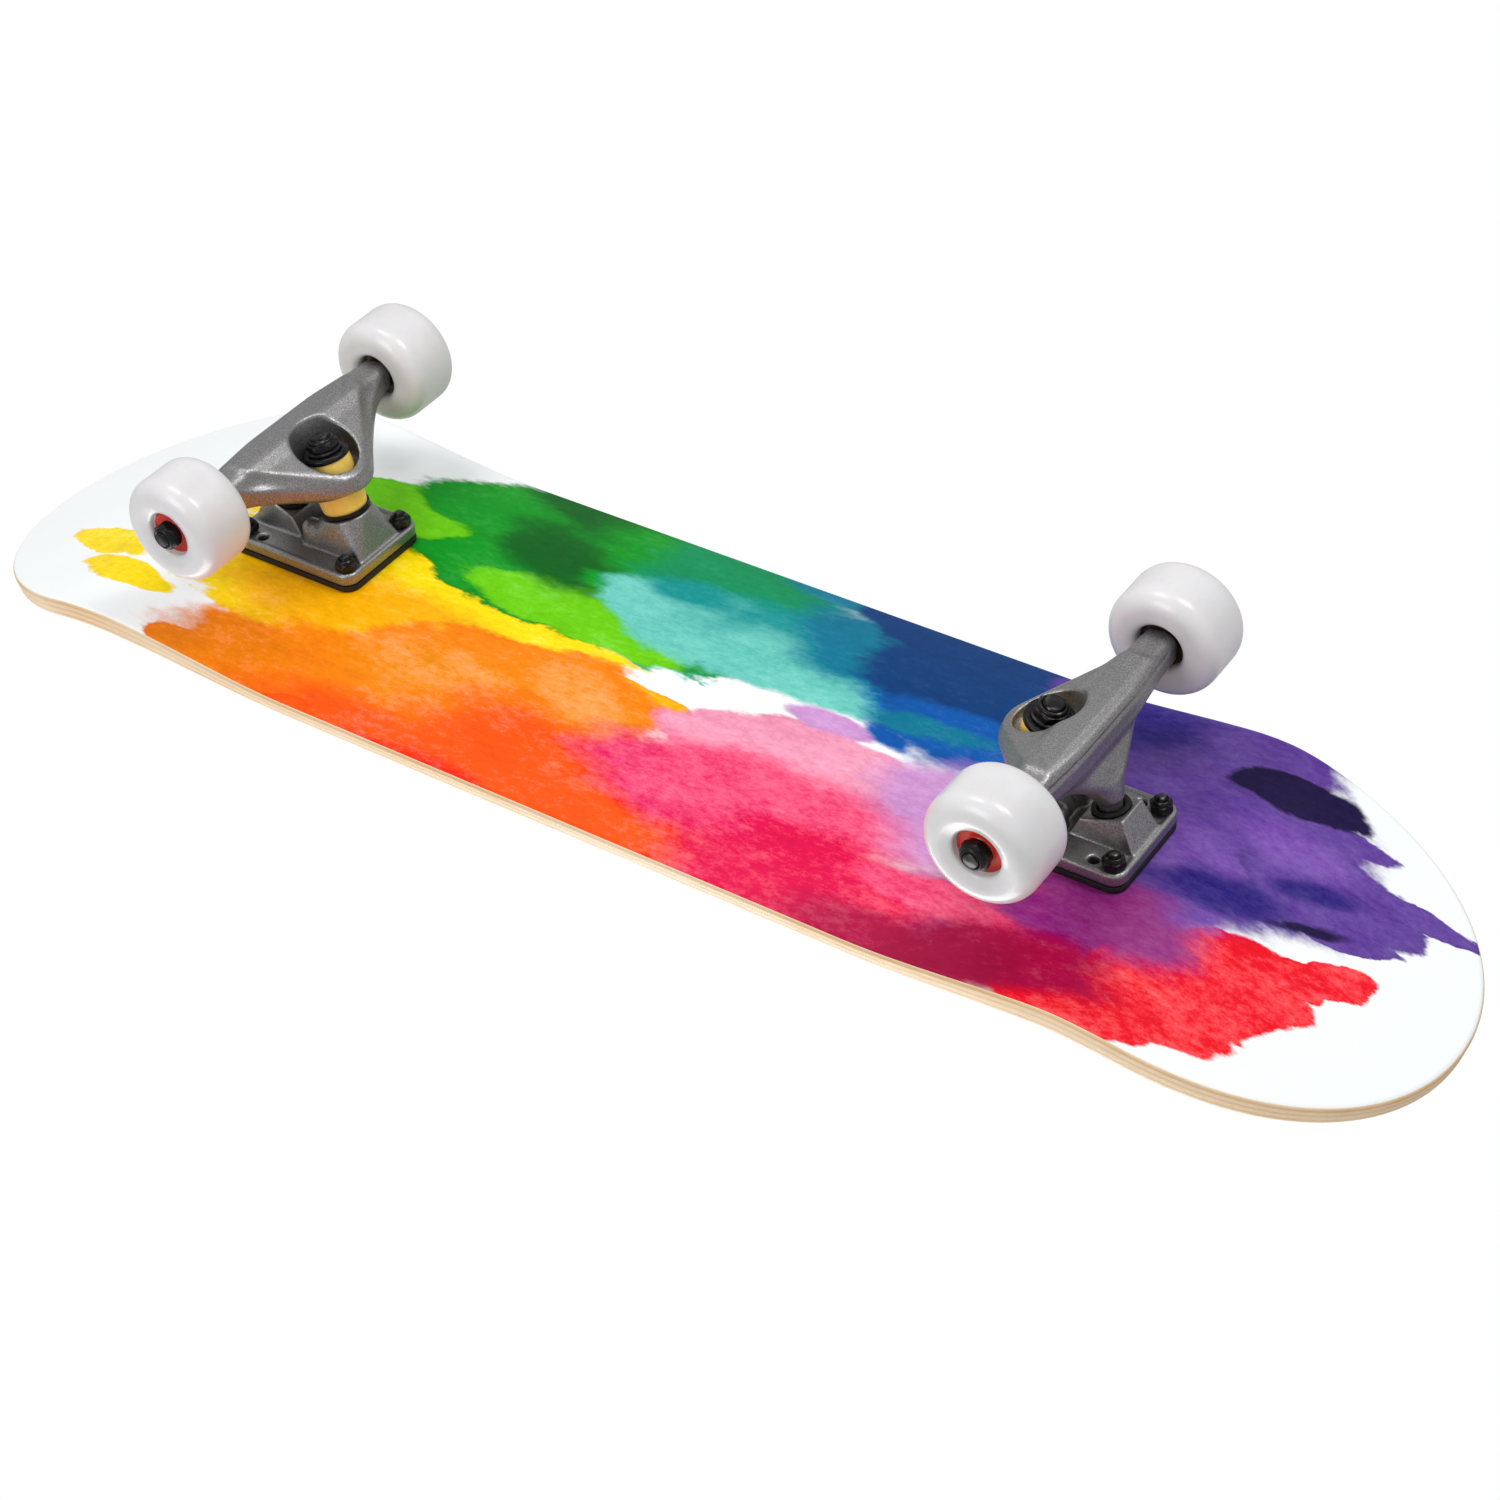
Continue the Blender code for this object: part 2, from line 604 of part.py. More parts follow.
def make_pivot_cup(name, rubber):
    """A cup with a lip, pressed into the baseplate; the hanger's pivot turns in it."""
    inner = CUP_INNER_RADIUS
    floor = -CUP_FLOOR + 0.9 * MM
    shape = [(0.0, -CUP_FLOOR), (CUP_RADIUS, -CUP_FLOOR), (CUP_RADIUS, CUP_LIP),
             (inner + 0.9 * MM, CUP_LIP), (inner, CUP_LIP - MM), (inner, -PIVOT_DEPTH),
             (inner * 0.6, floor), (0.0, floor)]
    return ring_piece(name, rubber, shape, aim(PIVOT_MOUTH, -CUP_DIR))


def beam_section(bm, v, half_u, half_z, ease, shift):
    """One rounded-square ring of the hanger's axle beam, drawn a little outboard of the axle."""
    points = rounded_rectangle(2 * half_u, 2 * half_z, ease, 3)
    return [bm.verts.new((AXLE_U + shift + x, v, WHEEL_RADIUS + z)) for x, z in points]


def make_hanger(name, metal):
    """The axle beam, the wings that carry the kingpin ring, and the rib down to the pivot."""
    bm = bmesh.new()
    # millimetres: distance along the axle, half-depths in u and z, corner ease, shift outboard
    stations = ((0, 8.8, 8.4, 3.4, 1.4), (22, 8.8, 8.2, 3.4, 1.4), (42, 8.4, 8.0, 3.6, 0.8),
                (54, 8.0, 7.8, 3.8, 0.3), (59, 8.0, 8.0, 4.2, 0.0), (HANGER_HALF / MM, 7.8, 7.8, 4.4, 0.0))
    ordered = [(-v, *rest) for v, *rest in stations[:0:-1]] + list(stations)
    rings = [beam_section(bm, *(value * MM for value in station)) for station in ordered]
    for a, b in zip(rings, rings[1:]):
        for i in range(len(a)):
            j = (i + 1) % len(a)
            bm.faces.new((a[i], a[j], b[j], b[i]))
    bm.faces.new(rings[0])
    bm.faces.new(rings[-1])
    hanger = new_object(name, bm, metal)

    axle = Vector((AXLE_U, 0.0, WHEEL_RADIUS))
    ring_low = disc_points(to_seat(RING_FROM), RING_RADIUS, 0.0)
    ring_high = disc_points(to_seat(RING_FROM), RING_RADIUS, RING_THICK)

    def bar(half_v, half_u, low, high):
        return [axle + Vector((u, v, z)) for u in (-half_u, half_u) for v in (-half_v, half_v)
                for z in (low, high)]

    ring = ring_low + ring_high
    wings = new_object("wings", hull(ring + bar(WING_HALF_V, 6 * MM, -2.5 * MM, 6.5 * MM)))
    web = new_object("web", hull(ring + bar(WEB_HALF_V, 7 * MM, -5.5 * MM, 7 * MM)))

    rib_low = aim(PIVOT_MOUTH - CUP_DIR * RIB_END, CUP_DIR)
    stem_foot = disc_points(rib_low, STEM_RADIUS, 0.0, COARSE)
    stem_foot += disc_points(rib_low, STEM_RADIUS - 0.4 * MM, 4 * MM, COARSE)
    rib = new_object("rib", hull(stem_foot + bar(RIB_HALF_V, 3.6 * MM, 3 * MM, 7 * MM)))
    ball = PIVOT_RADIUS
    pivot = [(0.0, -16 * MM), (STEM_RADIUS, -16 * MM), (STEM_RADIUS - 0.6 * MM, -6 * MM),
             (ball, -2.5 * MM), (ball, PIVOT_DEPTH - 2.5 * MM), (ball * 0.8, PIVOT_DEPTH - 0.8 * MM),
             (ball * 0.45, PIVOT_DEPTH + 0.2 * MM), (0.0, PIVOT_DEPTH + 0.4 * MM)]
    stem = new_object("stem", turned(pivot, ROUND, aim(PIVOT_MOUTH, CUP_DIR)))
    combine(hanger, [wings, web, rib, stem], "UNION")

    beyond = 80 * MM
    seat = RING_FROM + RING_THICK - RING_RECESS
    bowl_end = seat + 10 * MM
    bowl = [(0.0, seat), (POCKET_RADIUS + 0.5 * MM, seat), (BOWL_RADIUS, seat + 3.5 * MM),
            (BOWL_RADIUS, bowl_end), (NUT_ROOM_RADIUS, bowl_end + 3.4 * MM), (0.0, bowl_end + 3.4 * MM)]
    nut_room = [to_seat(0.0) @ Vector((x, y + side * NUT_ROOM_SWING, height))
                for x, y in polygon(NUT_ROOM_RADIUS, ROUND) for side in (-1, 1)
                for height in (bowl_end - MM, beyond)]
    under = RING_FROM + RING_RECESS
    pocket = [(0.0, 0.0), (POCKET_RADIUS, 0.0), (POCKET_RADIUS, under), (0.0, under)]
    hole = [(0.0, 0.0), (8.5 * MM, 0.0), (8.5 * MM, 60 * MM), (0.0, 60 * MM)]
    bore = [(0.0, -beyond), (AXLE_RADIUS + GAP, -beyond), (AXLE_RADIUS + GAP, beyond), (0.0, beyond)]
    cutters = [new_object("bowl", turned(bowl, ROUND, to_seat(0.0))),
               new_object("nut_room", hull(nut_room)),
               new_object("pocket", turned(pocket, ROUND, to_seat(0.0))),
               new_object("hole", turned(hole, ROUND, to_seat(0.0))),
               new_object("bore", turned(bore, COARSE, aim(axle, Vector((0, 1, 0)))))]
    combine(hanger, cutters, "DIFFERENCE")
    tidy(hanger, 30)
    return centre_on(hanger, RING_MIDDLE, STEER_DIR)


def across_axle(v=0.0, outward=1):
    """A frame on the axle whose Z runs outwards along it."""
    return aim(Vector((AXLE_U, v, WHEEL_RADIUS)), Vector((0, outward, 0)))


def make_axle(name, steel):
    ends = AXLE_HALF
    shape = [(0.0, -ends), (AXLE_RADIUS - 0.8 * MM, -ends), (AXLE_RADIUS, -ends + 0.8 * MM),
             (AXLE_RADIUS, ends - 0.8 * MM), (AXLE_RADIUS - 0.8 * MM, ends), (0.0, ends)]
    return new_object(name, turned(shape, COARSE, across_axle()), steel, 35)


def wheel_profile():
    """From the tread's middle out to the open face and its bearing seat, then back up the inner side.

    The inner side is closed in round the hanger's end, and the outer side is dished to its bearing.
    """
    steps = 4
    power = 2 / 2.05
    outside = []
    for i in range(steps + 1):
        angle = math.pi / 2 * i / steps
        h = WHEEL_TREAD_HALF + (WHEEL_HALF - WHEEL_TREAD_HALF) * math.sin(angle) ** power
        r = WHEEL_LIP_RADIUS + (WHEEL_RADIUS - WHEEL_LIP_RADIUS) * max(math.cos(angle), 0.0) ** power
        outside.append((r, h))
    seat = BEARING_RADIUS + 0.25 * MM
    shoulder = BEARING_OUTER_FACE - BEARING_WIDTH - GAP
    core = [(seat, shoulder), (9.2 * MM, shoulder)]
    open_half = outside + [(16.8 * MM, WHEEL_HALF), (12.4 * MM, 15.2 * MM), (seat, 14.2 * MM)] + core
    inner_half = outside + [(13.2 * MM, WHEEL_HALF - 0.3 * MM), (seat, WHEEL_HALF - 2.0 * MM)] + core
    return open_half + [(r, -h) for r, h in inner_half[::-1]]


def make_wheel(name, urethane, side):
    place = across_axle(side * WHEEL_CENTRE_V, side)
    wheel = new_object(name, turned(wheel_profile(), FINE, place), urethane, 35)
    return centre_on(wheel, place.translation)


def make_bearing(name, steel, v, side):
    """A 608 bearing, its shields drawn flush with its races."""
    face = BEARING_WIDTH / 2
    half = [(BEARING_RADIUS, face - 0.4 * MM), (BEARING_RADIUS - 0.4 * MM, face), (BEARING_BORE, face)]
    return new_object(name, turned(half + [(r, -h) for r, h in half[::-1]], ROUND,
                                   across_axle(side * v)), steel, 35)


def make_axle_nut(name, black, side):
    half = AXLE_NUT_ACROSS / 2
    high = AXLE_NUT_FROM + AXLE_NUT_THICK
    points = [Vector((x, y, z)) for z in (AXLE_NUT_FROM, high - 1.6 * MM)
              for x, y in polygon(hex_corner(half), 6)]
    points += [Vector((x, y, high)) for x, y in polygon(half - 0.8 * MM, COARSE)]
    nut = new_object(name, hull(points), black)
    reach = AXLE_RADIUS + GAP
    bore = [(0, 80 * MM), (reach, 80 * MM), (reach, 100 * MM), (0, 100 * MM)]
    combine(nut, [new_object("bore", turned(bore, COARSE))], "DIFFERENCE")
    tidy(nut, 30)
    nut.data.transform(across_axle(0.0, side))
    return nut


def make_truck(truck, mats):
    """Build one truck in its own frame, then set its frame in place under the deck."""
    turn = 0.0 if truck == "front" else math.pi
    x = TRUCK_MID_X + math.cos(turn) * TRUCK_SPACING / 2
    frame = empty(truck + "_truck_frame", Matrix.Translation((x, 0, 0)) @ Matrix.Rotation(turn, 4, "Z"))
    sides = {"left": 1, "right": -1} if truck == "front" else {"left": -1, "right": 1}

    hang(make_riser(truck + "_riser_pad", mats["rubber"]), frame)
    hang(make_baseplate(truck + "_baseplate", mats["cast"]), frame)
    hang(make_kingpin(truck + "_kingpin", mats["black"]), frame)
    hang(make_kingpin_nut(truck + "_kingpin_nut", mats["black"]), frame)
    hang(make_pivot_cup(truck + "_pivot_cup", mats["rubber"]), frame)
    hang(make_cup_washer(truck + "_washer_boardside", mats["black"], GAP, 1), frame)
    hang(make_cup_washer(truck + "_washer_roadside", mats["black"], ROADSIDE_WASHER_FROM, -1), frame)
    board_low = 2 * GAP + WASHER_THICK
    board_high = RING_FROM + RING_RECESS - GAP
    road_low = RING_FROM + RING_THICK - RING_RECESS + GAP
    road_high = ROADSIDE_WASHER_FROM - GAP
    hang(make_bushing(truck + "_bushing_boardside", mats["bushing"], board_low, board_high,
                      BUSHING_RADIUS, BUSHING_RADIUS + 0.2 * MM), frame)
    hang(make_bushing(truck + "_bushing_roadside", mats["bushing"], road_low, road_high,
                      BUSHING_RADIUS, BUSHING_RADIUS - 0.6 * MM), frame)
    hang(make_hanger(truck + "_hanger", mats["cast"]), frame)
    hang(make_axle(truck + "_axle", mats["black"]), frame)
    bearing_v = WHEEL_CENTRE_V + BEARING_OUTER_FACE - BEARING_WIDTH / 2
    for side, sign in sides.items():
        name = f"{truck}_{side}"
        hang(make_wheel(name + "_wheel", mats["urethane"], sign), frame)
        hang(make_bearing(name + "_outer_bearing", mats["bearing"], bearing_v, sign), frame)
        inner_v = 2 * WHEEL_CENTRE_V - bearing_v
        hang(make_bearing(name + "_inner_bearing", mats["bearing"], inner_v, sign), frame)
        low = WHEEL_CENTRE_V - BEARING_OUTER_FACE + BEARING_WIDTH + GAP
        high = WHEEL_CENTRE_V + BEARING_OUTER_FACE - BEARING_WIDTH - GAP
        tube = [(BEARING_BORE, low), (5.3 * MM, low), (5.3 * MM, high), (BEARING_BORE, high)]
        spacer = ring_piece(name + "_bearing_spacer", mats["steel"], tube, across_axle(0.0, sign), COARSE)
        hang(spacer, frame)
        hang(make_axle_nut(name + "_axle_nut", mats["black"], sign), frame)


def main():
    for obj in list(bpy.data.objects):
        bpy.data.objects.remove(obj, do_unlink=True)
    mats = {
        "wood": material("maple_ply", (0.72, 0.53, 0.33), 0.45),
        "grit": material("grip_tape", (0.02, 0.02, 0.022), 0.95),
        "rubber": material("black_rubber", (0.015, 0.015, 0.017), 0.6),
        "cast": material("cast_aluminium", (0.5, 0.5, 0.5), 0.42, 0.9),
        "black": material("black_steel", (0.02, 0.02, 0.02), 0.35, 0.6),
        "steel": material("zinc_steel", (0.6, 0.6, 0.62), 0.3, 1.0),
        "bushing": material("yellow_urethane", (0.9, 0.55, 0.08), 0.5),
        "urethane": material("white_urethane", (0.86, 0.85, 0.83), 0.35),
        "bearing": material("red_shield", (0.65, 0.07, 0.02), 0.45),
    }
    make_deck(mats["wood"], mats["grit"])
    make_bolts(mats["black"], mats["black"])
    make_truck("front", mats)
    make_truck("rear", mats)


main()
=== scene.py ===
"""Looks of the skateboard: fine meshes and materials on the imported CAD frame, with its studio."""

import json
import math

import bmesh
import bpy
import numpy as np
from mathutils import Matrix, Vector


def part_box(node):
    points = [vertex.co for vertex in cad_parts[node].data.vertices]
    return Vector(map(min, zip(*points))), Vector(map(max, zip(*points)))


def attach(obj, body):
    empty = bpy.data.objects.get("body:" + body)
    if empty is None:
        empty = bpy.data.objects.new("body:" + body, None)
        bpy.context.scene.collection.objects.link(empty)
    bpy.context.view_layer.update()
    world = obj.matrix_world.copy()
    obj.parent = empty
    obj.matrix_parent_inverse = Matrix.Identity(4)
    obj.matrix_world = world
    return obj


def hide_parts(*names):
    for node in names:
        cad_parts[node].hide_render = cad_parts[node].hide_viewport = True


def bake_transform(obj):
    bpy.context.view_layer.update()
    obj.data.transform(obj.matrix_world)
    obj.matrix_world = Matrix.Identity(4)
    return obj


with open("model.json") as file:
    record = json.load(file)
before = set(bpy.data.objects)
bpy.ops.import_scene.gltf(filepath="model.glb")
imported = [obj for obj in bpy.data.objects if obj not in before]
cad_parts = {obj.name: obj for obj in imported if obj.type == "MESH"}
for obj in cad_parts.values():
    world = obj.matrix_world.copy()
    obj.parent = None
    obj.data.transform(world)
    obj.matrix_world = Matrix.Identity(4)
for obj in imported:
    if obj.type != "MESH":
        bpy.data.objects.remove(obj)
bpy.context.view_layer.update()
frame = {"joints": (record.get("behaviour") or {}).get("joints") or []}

MM = 0.001
GAP = 0.3                         # between solids that touch, in millimetres
JOINTS = {joint["name"]: joint for joint in frame["joints"]}


# ---- places that the frame gives ----
def box_middle(node):
    low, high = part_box(node)
    return (low + high) / 2


TRUCK_X = {truck: box_middle(truck + "_baseplate").x for truck in ("front", "rear")}
TRUCK_MID_X = (TRUCK_X["front"] + TRUCK_X["rear"]) / 2
AXLE_POS = Vector(JOINTS["front_left_wheel_spin"]["pos_m"])
AXLE_U = (AXLE_POS.x - TRUCK_X["front"]) / MM        # truck frames are drawn in millimetres
AXLE_Z = AXLE_POS.z / MM
WHEEL_V = AXLE_POS.y / MM
DECK_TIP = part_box("deck")[1].x / MM
DECK_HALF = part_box("deck")[1].y / MM
UNDERSIDE_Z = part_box("front_riser_pad")[1].z / MM + GAP
PLATE_LOW, PLATE_HIGH = (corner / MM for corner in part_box("front_riser_pad"))
PLATE_LENGTH = PLATE_HIGH.x - PLATE_LOW.x
PLATE_WIDTH = PLATE_HIGH.y - PLATE_LOW.y
PLATE_TOP_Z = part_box("front_baseplate")[1].z / MM

# ---- the deck's shape, in millimetres, as in the CAD model ----
DECK_THICK = 11.0
EDGE_ROUND = 2.5
GRIP_LOW = DECK_THICK + GAP
GRIP_THICK = 0.7
GRIP_HOLE_RADIUS = 4.8
CONCAVE_RISE = 9.3
CONCAVE_FLAT = 28.0
CONCAVE_FADE = (155.0, 272.0)
NOSE = {"round_from": 254.0, "kick_from": 262.0, "bend": 140.0, "angle": 20.2}
TAIL = {"round_from": 259.0, "kick_from": 247.0, "bend": 150.0, "angle": 16.3}
LOOKS_TIP = 402.9                # just inside the CAD deck, so that the looks stay in its box
LOOKS_GAP = 0.05
OUTLINE_POWER_X = 2.3
OUTLINE_POWER_Y = 2.04

# ---- the trucks, in millimetres in each truck's frame ----
PLATE_THICK = 6.4
PLATE_CORNER = 7.0
PLATE_FACE_Z = PLATE_TOP_Z - PLATE_THICK
BOLT_U = 31.75
BOLT_V = 20.65
SPARE_HOLE_U = 22.25
BOLT_RADIUS = 2.3
SEAT = np.array((-18.0, 0.0, 61.1))
LEAN = math.radians(13.0)
KINGPIN_DIR = np.array((math.sin(LEAN), 0.0, -math.cos(LEAN)))
ACROSS_PIN = np.array((math.cos(LEAN), 0.0, math.sin(LEAN)))
SEAT_RADIUS = 12.6
RING_FROM, RING_TO, RING_RADIUS = 16.2, 22.7, 18.5
PIVOT_MOUTH = np.array((19.0, 0.0, 66.4))
CUP_TILT = math.radians(13.0)
CUP_DIR = np.array((math.sin(CUP_TILT), 0.0, math.cos(CUP_TILT)))
HANGER_HALF = 62.7
AXLE_RADIUS = 3.8
KINGPIN_RADIUS = 4.7
KINGPIN_TIP = 41.6                # from the seat, as are the heights below
KINGPIN_HEAD_THICK = 5.5
KINGPIN_HEAD_RADIUS = 8.0
HEAD_FROM = -(PLATE_TOP_Z - SEAT[2] - 2.6) / math.cos(LEAN)
HEAD_TO = HEAD_FROM + KINGPIN_HEAD_THICK
KINGPIN_NUT_FROM, KINGPIN_NUT_TO = 34.0, 40.8
KINGPIN_NUT_FLATS, KINGPIN_NUT_FLANGE = 14.3, 8.7
CUP_THICK, CUP_LIP = 1.6, 1.2
# Bushings along the kingpin: both ends, the radius at each, and where the plate and the ring hold it.
BUSHINGS = (
    ("boardside", 2.2, 16.2, 11.2, 11.4, 2.2, 15.5),
    ("roadside", 22.0, 31.6, 11.2, 10.6, 31.6, 22.7),
)


# ---- meshes ----
def show(name, data, place=Matrix()):
    """Put a mesh, a light or a camera in the scene."""
    obj = bpy.data.objects.new(name, data)
    bpy.context.scene.collection.objects.link(obj)
    obj.matrix_world = place
    return obj


def moved(x, y, z=0.0):
    return Matrix.Translation((x * MM, y * MM, z * MM))


def from_bmesh(name, bm, mat):
    mesh = bpy.data.meshes.new(name)
    bm.to_mesh(mesh)
    bm.free()
    mesh.materials.append(mat)
    return show(name, mesh)


def add_piece(obj, body, slot, *nodes):
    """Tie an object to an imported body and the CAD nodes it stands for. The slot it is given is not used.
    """
    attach(obj, body)
    if nodes:
        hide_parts(*nodes)
    return obj


def add_mesh(name, verts, faces, mat, place=Matrix(), sharp=None):
    """An object from vertices in millimetres, set in place in the row frame."""
    mesh = bpy.data.meshes.new(name)
    mesh.from_pydata((np.asarray(verts, float) * MM).tolist(), [], faces)
    mesh.validate()
    mesh.materials.append(mat)
    mesh.shade_smooth()
    if sharp:
        mesh.set_sharp_from_angle(angle=math.radians(sharp))
    return show(name, mesh, place)


def aim(origin, direction):
    """A matrix in metres whose Z runs along the direction, for an origin in millimetres."""
    z = Vector(direction).normalized()
    y = Vector((0.0, 1.0, 0.0))
    if abs(z.dot(y)) > 0.9:
        y = Vector((-1.0, 0.0, 0.0))
    x = y.cross(z).normalized()
    turn = Matrix((x, z.cross(x), z)).transposed().to_4x4()
    return Matrix.Translation(Vector(origin) * MM) @ turn


def truck_place(truck):
    turn = Matrix.Rotation(0.0 if truck == "front" else math.pi, 4, "Z")
    return Matrix.Translation((TRUCK_X[truck], 0, 0)) @ turn


def fillet(profile, radius, steps=3, closed=False):
    """Round the corners of a polyline with short arcs of about that radius."""
    points = [np.array(p, float) for p in profile]
    count = len(points)
    out = []
    for i, p in enumerate(points):
        if not closed and i in (0, count - 1):
            out.append(tuple(p))
            continue
        before, after = points[i - 1], points[(i + 1) % count]
        a, b = before - p, after - p
        la, lb = np.linalg.norm(a), np.linalg.norm(b)
        reach = min(radius, 0.45 * la, 0.45 * lb)
        start, end = p + a / la * reach, p + b / lb * reach
        for s in range(steps + 1):
            t = s / steps
            out.append(tuple((1 - t) ** 2 * start + 2 * t * (1 - t) * p + t * t * end))
    return out


def skin(rows, sides, closed=False):
    """Faces between rings of vertices.  The last ring meets the first if closed, or both are capped."""
    pairs = list(zip(range(rows), range(1, rows))) + ([(rows - 1, 0)] if closed else [])
    faces = [(a * sides + i, a * sides + (i + 1) % sides, b * sides + (i + 1) % sides, b * sides + i)
             for a, b in pairs for i in range(sides)]
    if not closed:
        faces += [tuple(range(sides))[::-1], tuple(range((rows - 1) * sides, rows * sides))]
    return faces


def ring_verts(radius, angles, height):
    return np.stack((radius * np.cos(angles), radius * np.sin(angles), np.full(len(angles), height)), 1)


def spun(name, rows, sides, mat, place=Matrix(), closed=False, sharp=None):
    """Turn rows of (radius, height[, half width across flats]) round Z.

    Where a row has a width across flats, its outline is the hexagon cut down to the radius.
    An open profile starts and ends on the axis or is capped there; a closed one is a ring.
    """
    angles = np.arange(sides) / sides * math.tau
    sector = (angles + math.pi / 6) % (math.pi / 3) - math.pi / 6
    verts = []
    for row in rows:
        radius = np.full(sides, row[0])
        if len(row) > 2:
            radius = np.minimum(radius, row[2] / np.cos(sector))
        verts.append(ring_verts(radius, angles, row[1]))
    obj = add_mesh(name, np.concatenate(verts), skin(len(rows), sides, closed), mat, place, sharp)
    face_outwards(obj)
    return obj


def face_outwards(obj):
    bm = bmesh.new()
    bm.from_mesh(obj.data)
    bmesh.ops.remove_doubles(bm, verts=bm.verts, dist=0.002 * MM)
    if bm.calc_volume(signed=True) < 0:
        bmesh.ops.reverse_faces(bm, faces=bm.faces)
    bm.to_mesh(obj.data)
    bm.free()


def threaded(name, radius, low, high, pitch, thread_from, mat, place=Matrix(), sides=28):
    """A rod along Z, with a screw thread from thread_from to its high end."""
    depth = 0.42 * pitch
    heights = [low, low + 0.01]
    heights += list(np.arange(thread_from, high - 0.02, pitch / 5)) + [high]
    angles = np.arange(sides) / sides * math.tau
    verts = []
    for h in heights:
        phase = (h / pitch - angles / math.tau) % 1.0
        cut = np.abs(phase - 0.5) * 2 * depth if h > thread_from else np.zeros(sides)
        fade = min((h - thread_from) / pitch, 1.0) if h > thread_from else 0.0
        chamfer = max(0.0, h - (high - 1.1 * depth))
        verts.append(ring_verts(np.minimum(radius - cut * fade, radius - chamfer), angles, h))
    return add_mesh(name, np.concatenate(verts), skin(len(heights), sides), mat, place, 50)


def rounded_rectangle(length, width, corner, steps=8):
    points = []
    for quarter, (sx, sy) in enumerate(((1, 1), (-1, 1), (-1, -1), (1, -1))):
        cx, cy = sx * (length / 2 - corner), sy * (width / 2 - corner)
        for i in range(steps + 1):
            angle = (quarter + i / steps) * math.pi / 2
            points.append((cx + corner * math.cos(angle), cy + corner * math.sin(angle)))
    return points


def subtract(obj, cutters):
    """Cut the cutters out of the object for good."""
    for cutter in cutters:
        step = obj.modifiers.new("cut", "BOOLEAN")
        step.operation, step.solver, step.object = "DIFFERENCE", "EXACT", cutter
        deps = bpy.context.evaluated_depsgraph_get()
        shaped = bpy.data.meshes.new_from_object(obj.evaluated_get(deps))
        obj.modifiers.clear()
        obj.data = shaped
        bpy.data.objects.remove(cutter)


# ---- cast shapes, drawn as distance fields ----
def field_rod(p, start, direction, low, high, radius_low, radius_high=None):
    """A round bar or cone between two distances along a line."""
    w = p - np.array(start, np.float32)
    along = w @ np.array(direction, np.float32)
    off = np.sqrt(np.maximum((w * w).sum(1) - along * along, 0))
    share = np.clip((along - low) / (high - low), 0, 1)
    radius = radius_low + ((radius_high if radius_high else radius_low) - radius_low) * share
    return np.maximum(off - radius, np.maximum(low - along, along - high))


def field_hull(p, points):
    """Inside the convex hull of the points."""
    bm = bmesh.new()
    for point in points:
        bm.verts.new(point)
    bmesh.ops.convex_hull(bm, input=bm.verts)
    bmesh.ops.dissolve_limit(bm, angle_limit=math.radians(1), verts=bm.verts, edges=bm.edges)
    bm.normal_update()
    middle = Vector(np.mean([tuple(q) for q in points], 0))
    far = None
    for face in bm.faces:
        normal, at = face.normal.copy(), face.calc_center_median()
        if normal.dot(at - middle) < 0:
            normal = -normal
        plane = p @ np.array(normal, np.float32) - normal.dot(at)
        far = plane if far is None else np.maximum(far, plane)
    bm.free()
    return far


def blend_in(a, b, radius):
    """Join two fields with a fillet."""
    h = np.clip(0.5 + 0.5 * (b - a) / radius, 0, 1)
    return b * (1 - h) + a * h - radius * h * (1 - h)


def meet(a, b, radius):
    """Keep what two fields share, with an eased edge."""
    return -blend_in(-a, -b, radius)


def carve(a, b, radius):
    """Take b out of a with an eased rim."""
    return meet(a, -b, radius)


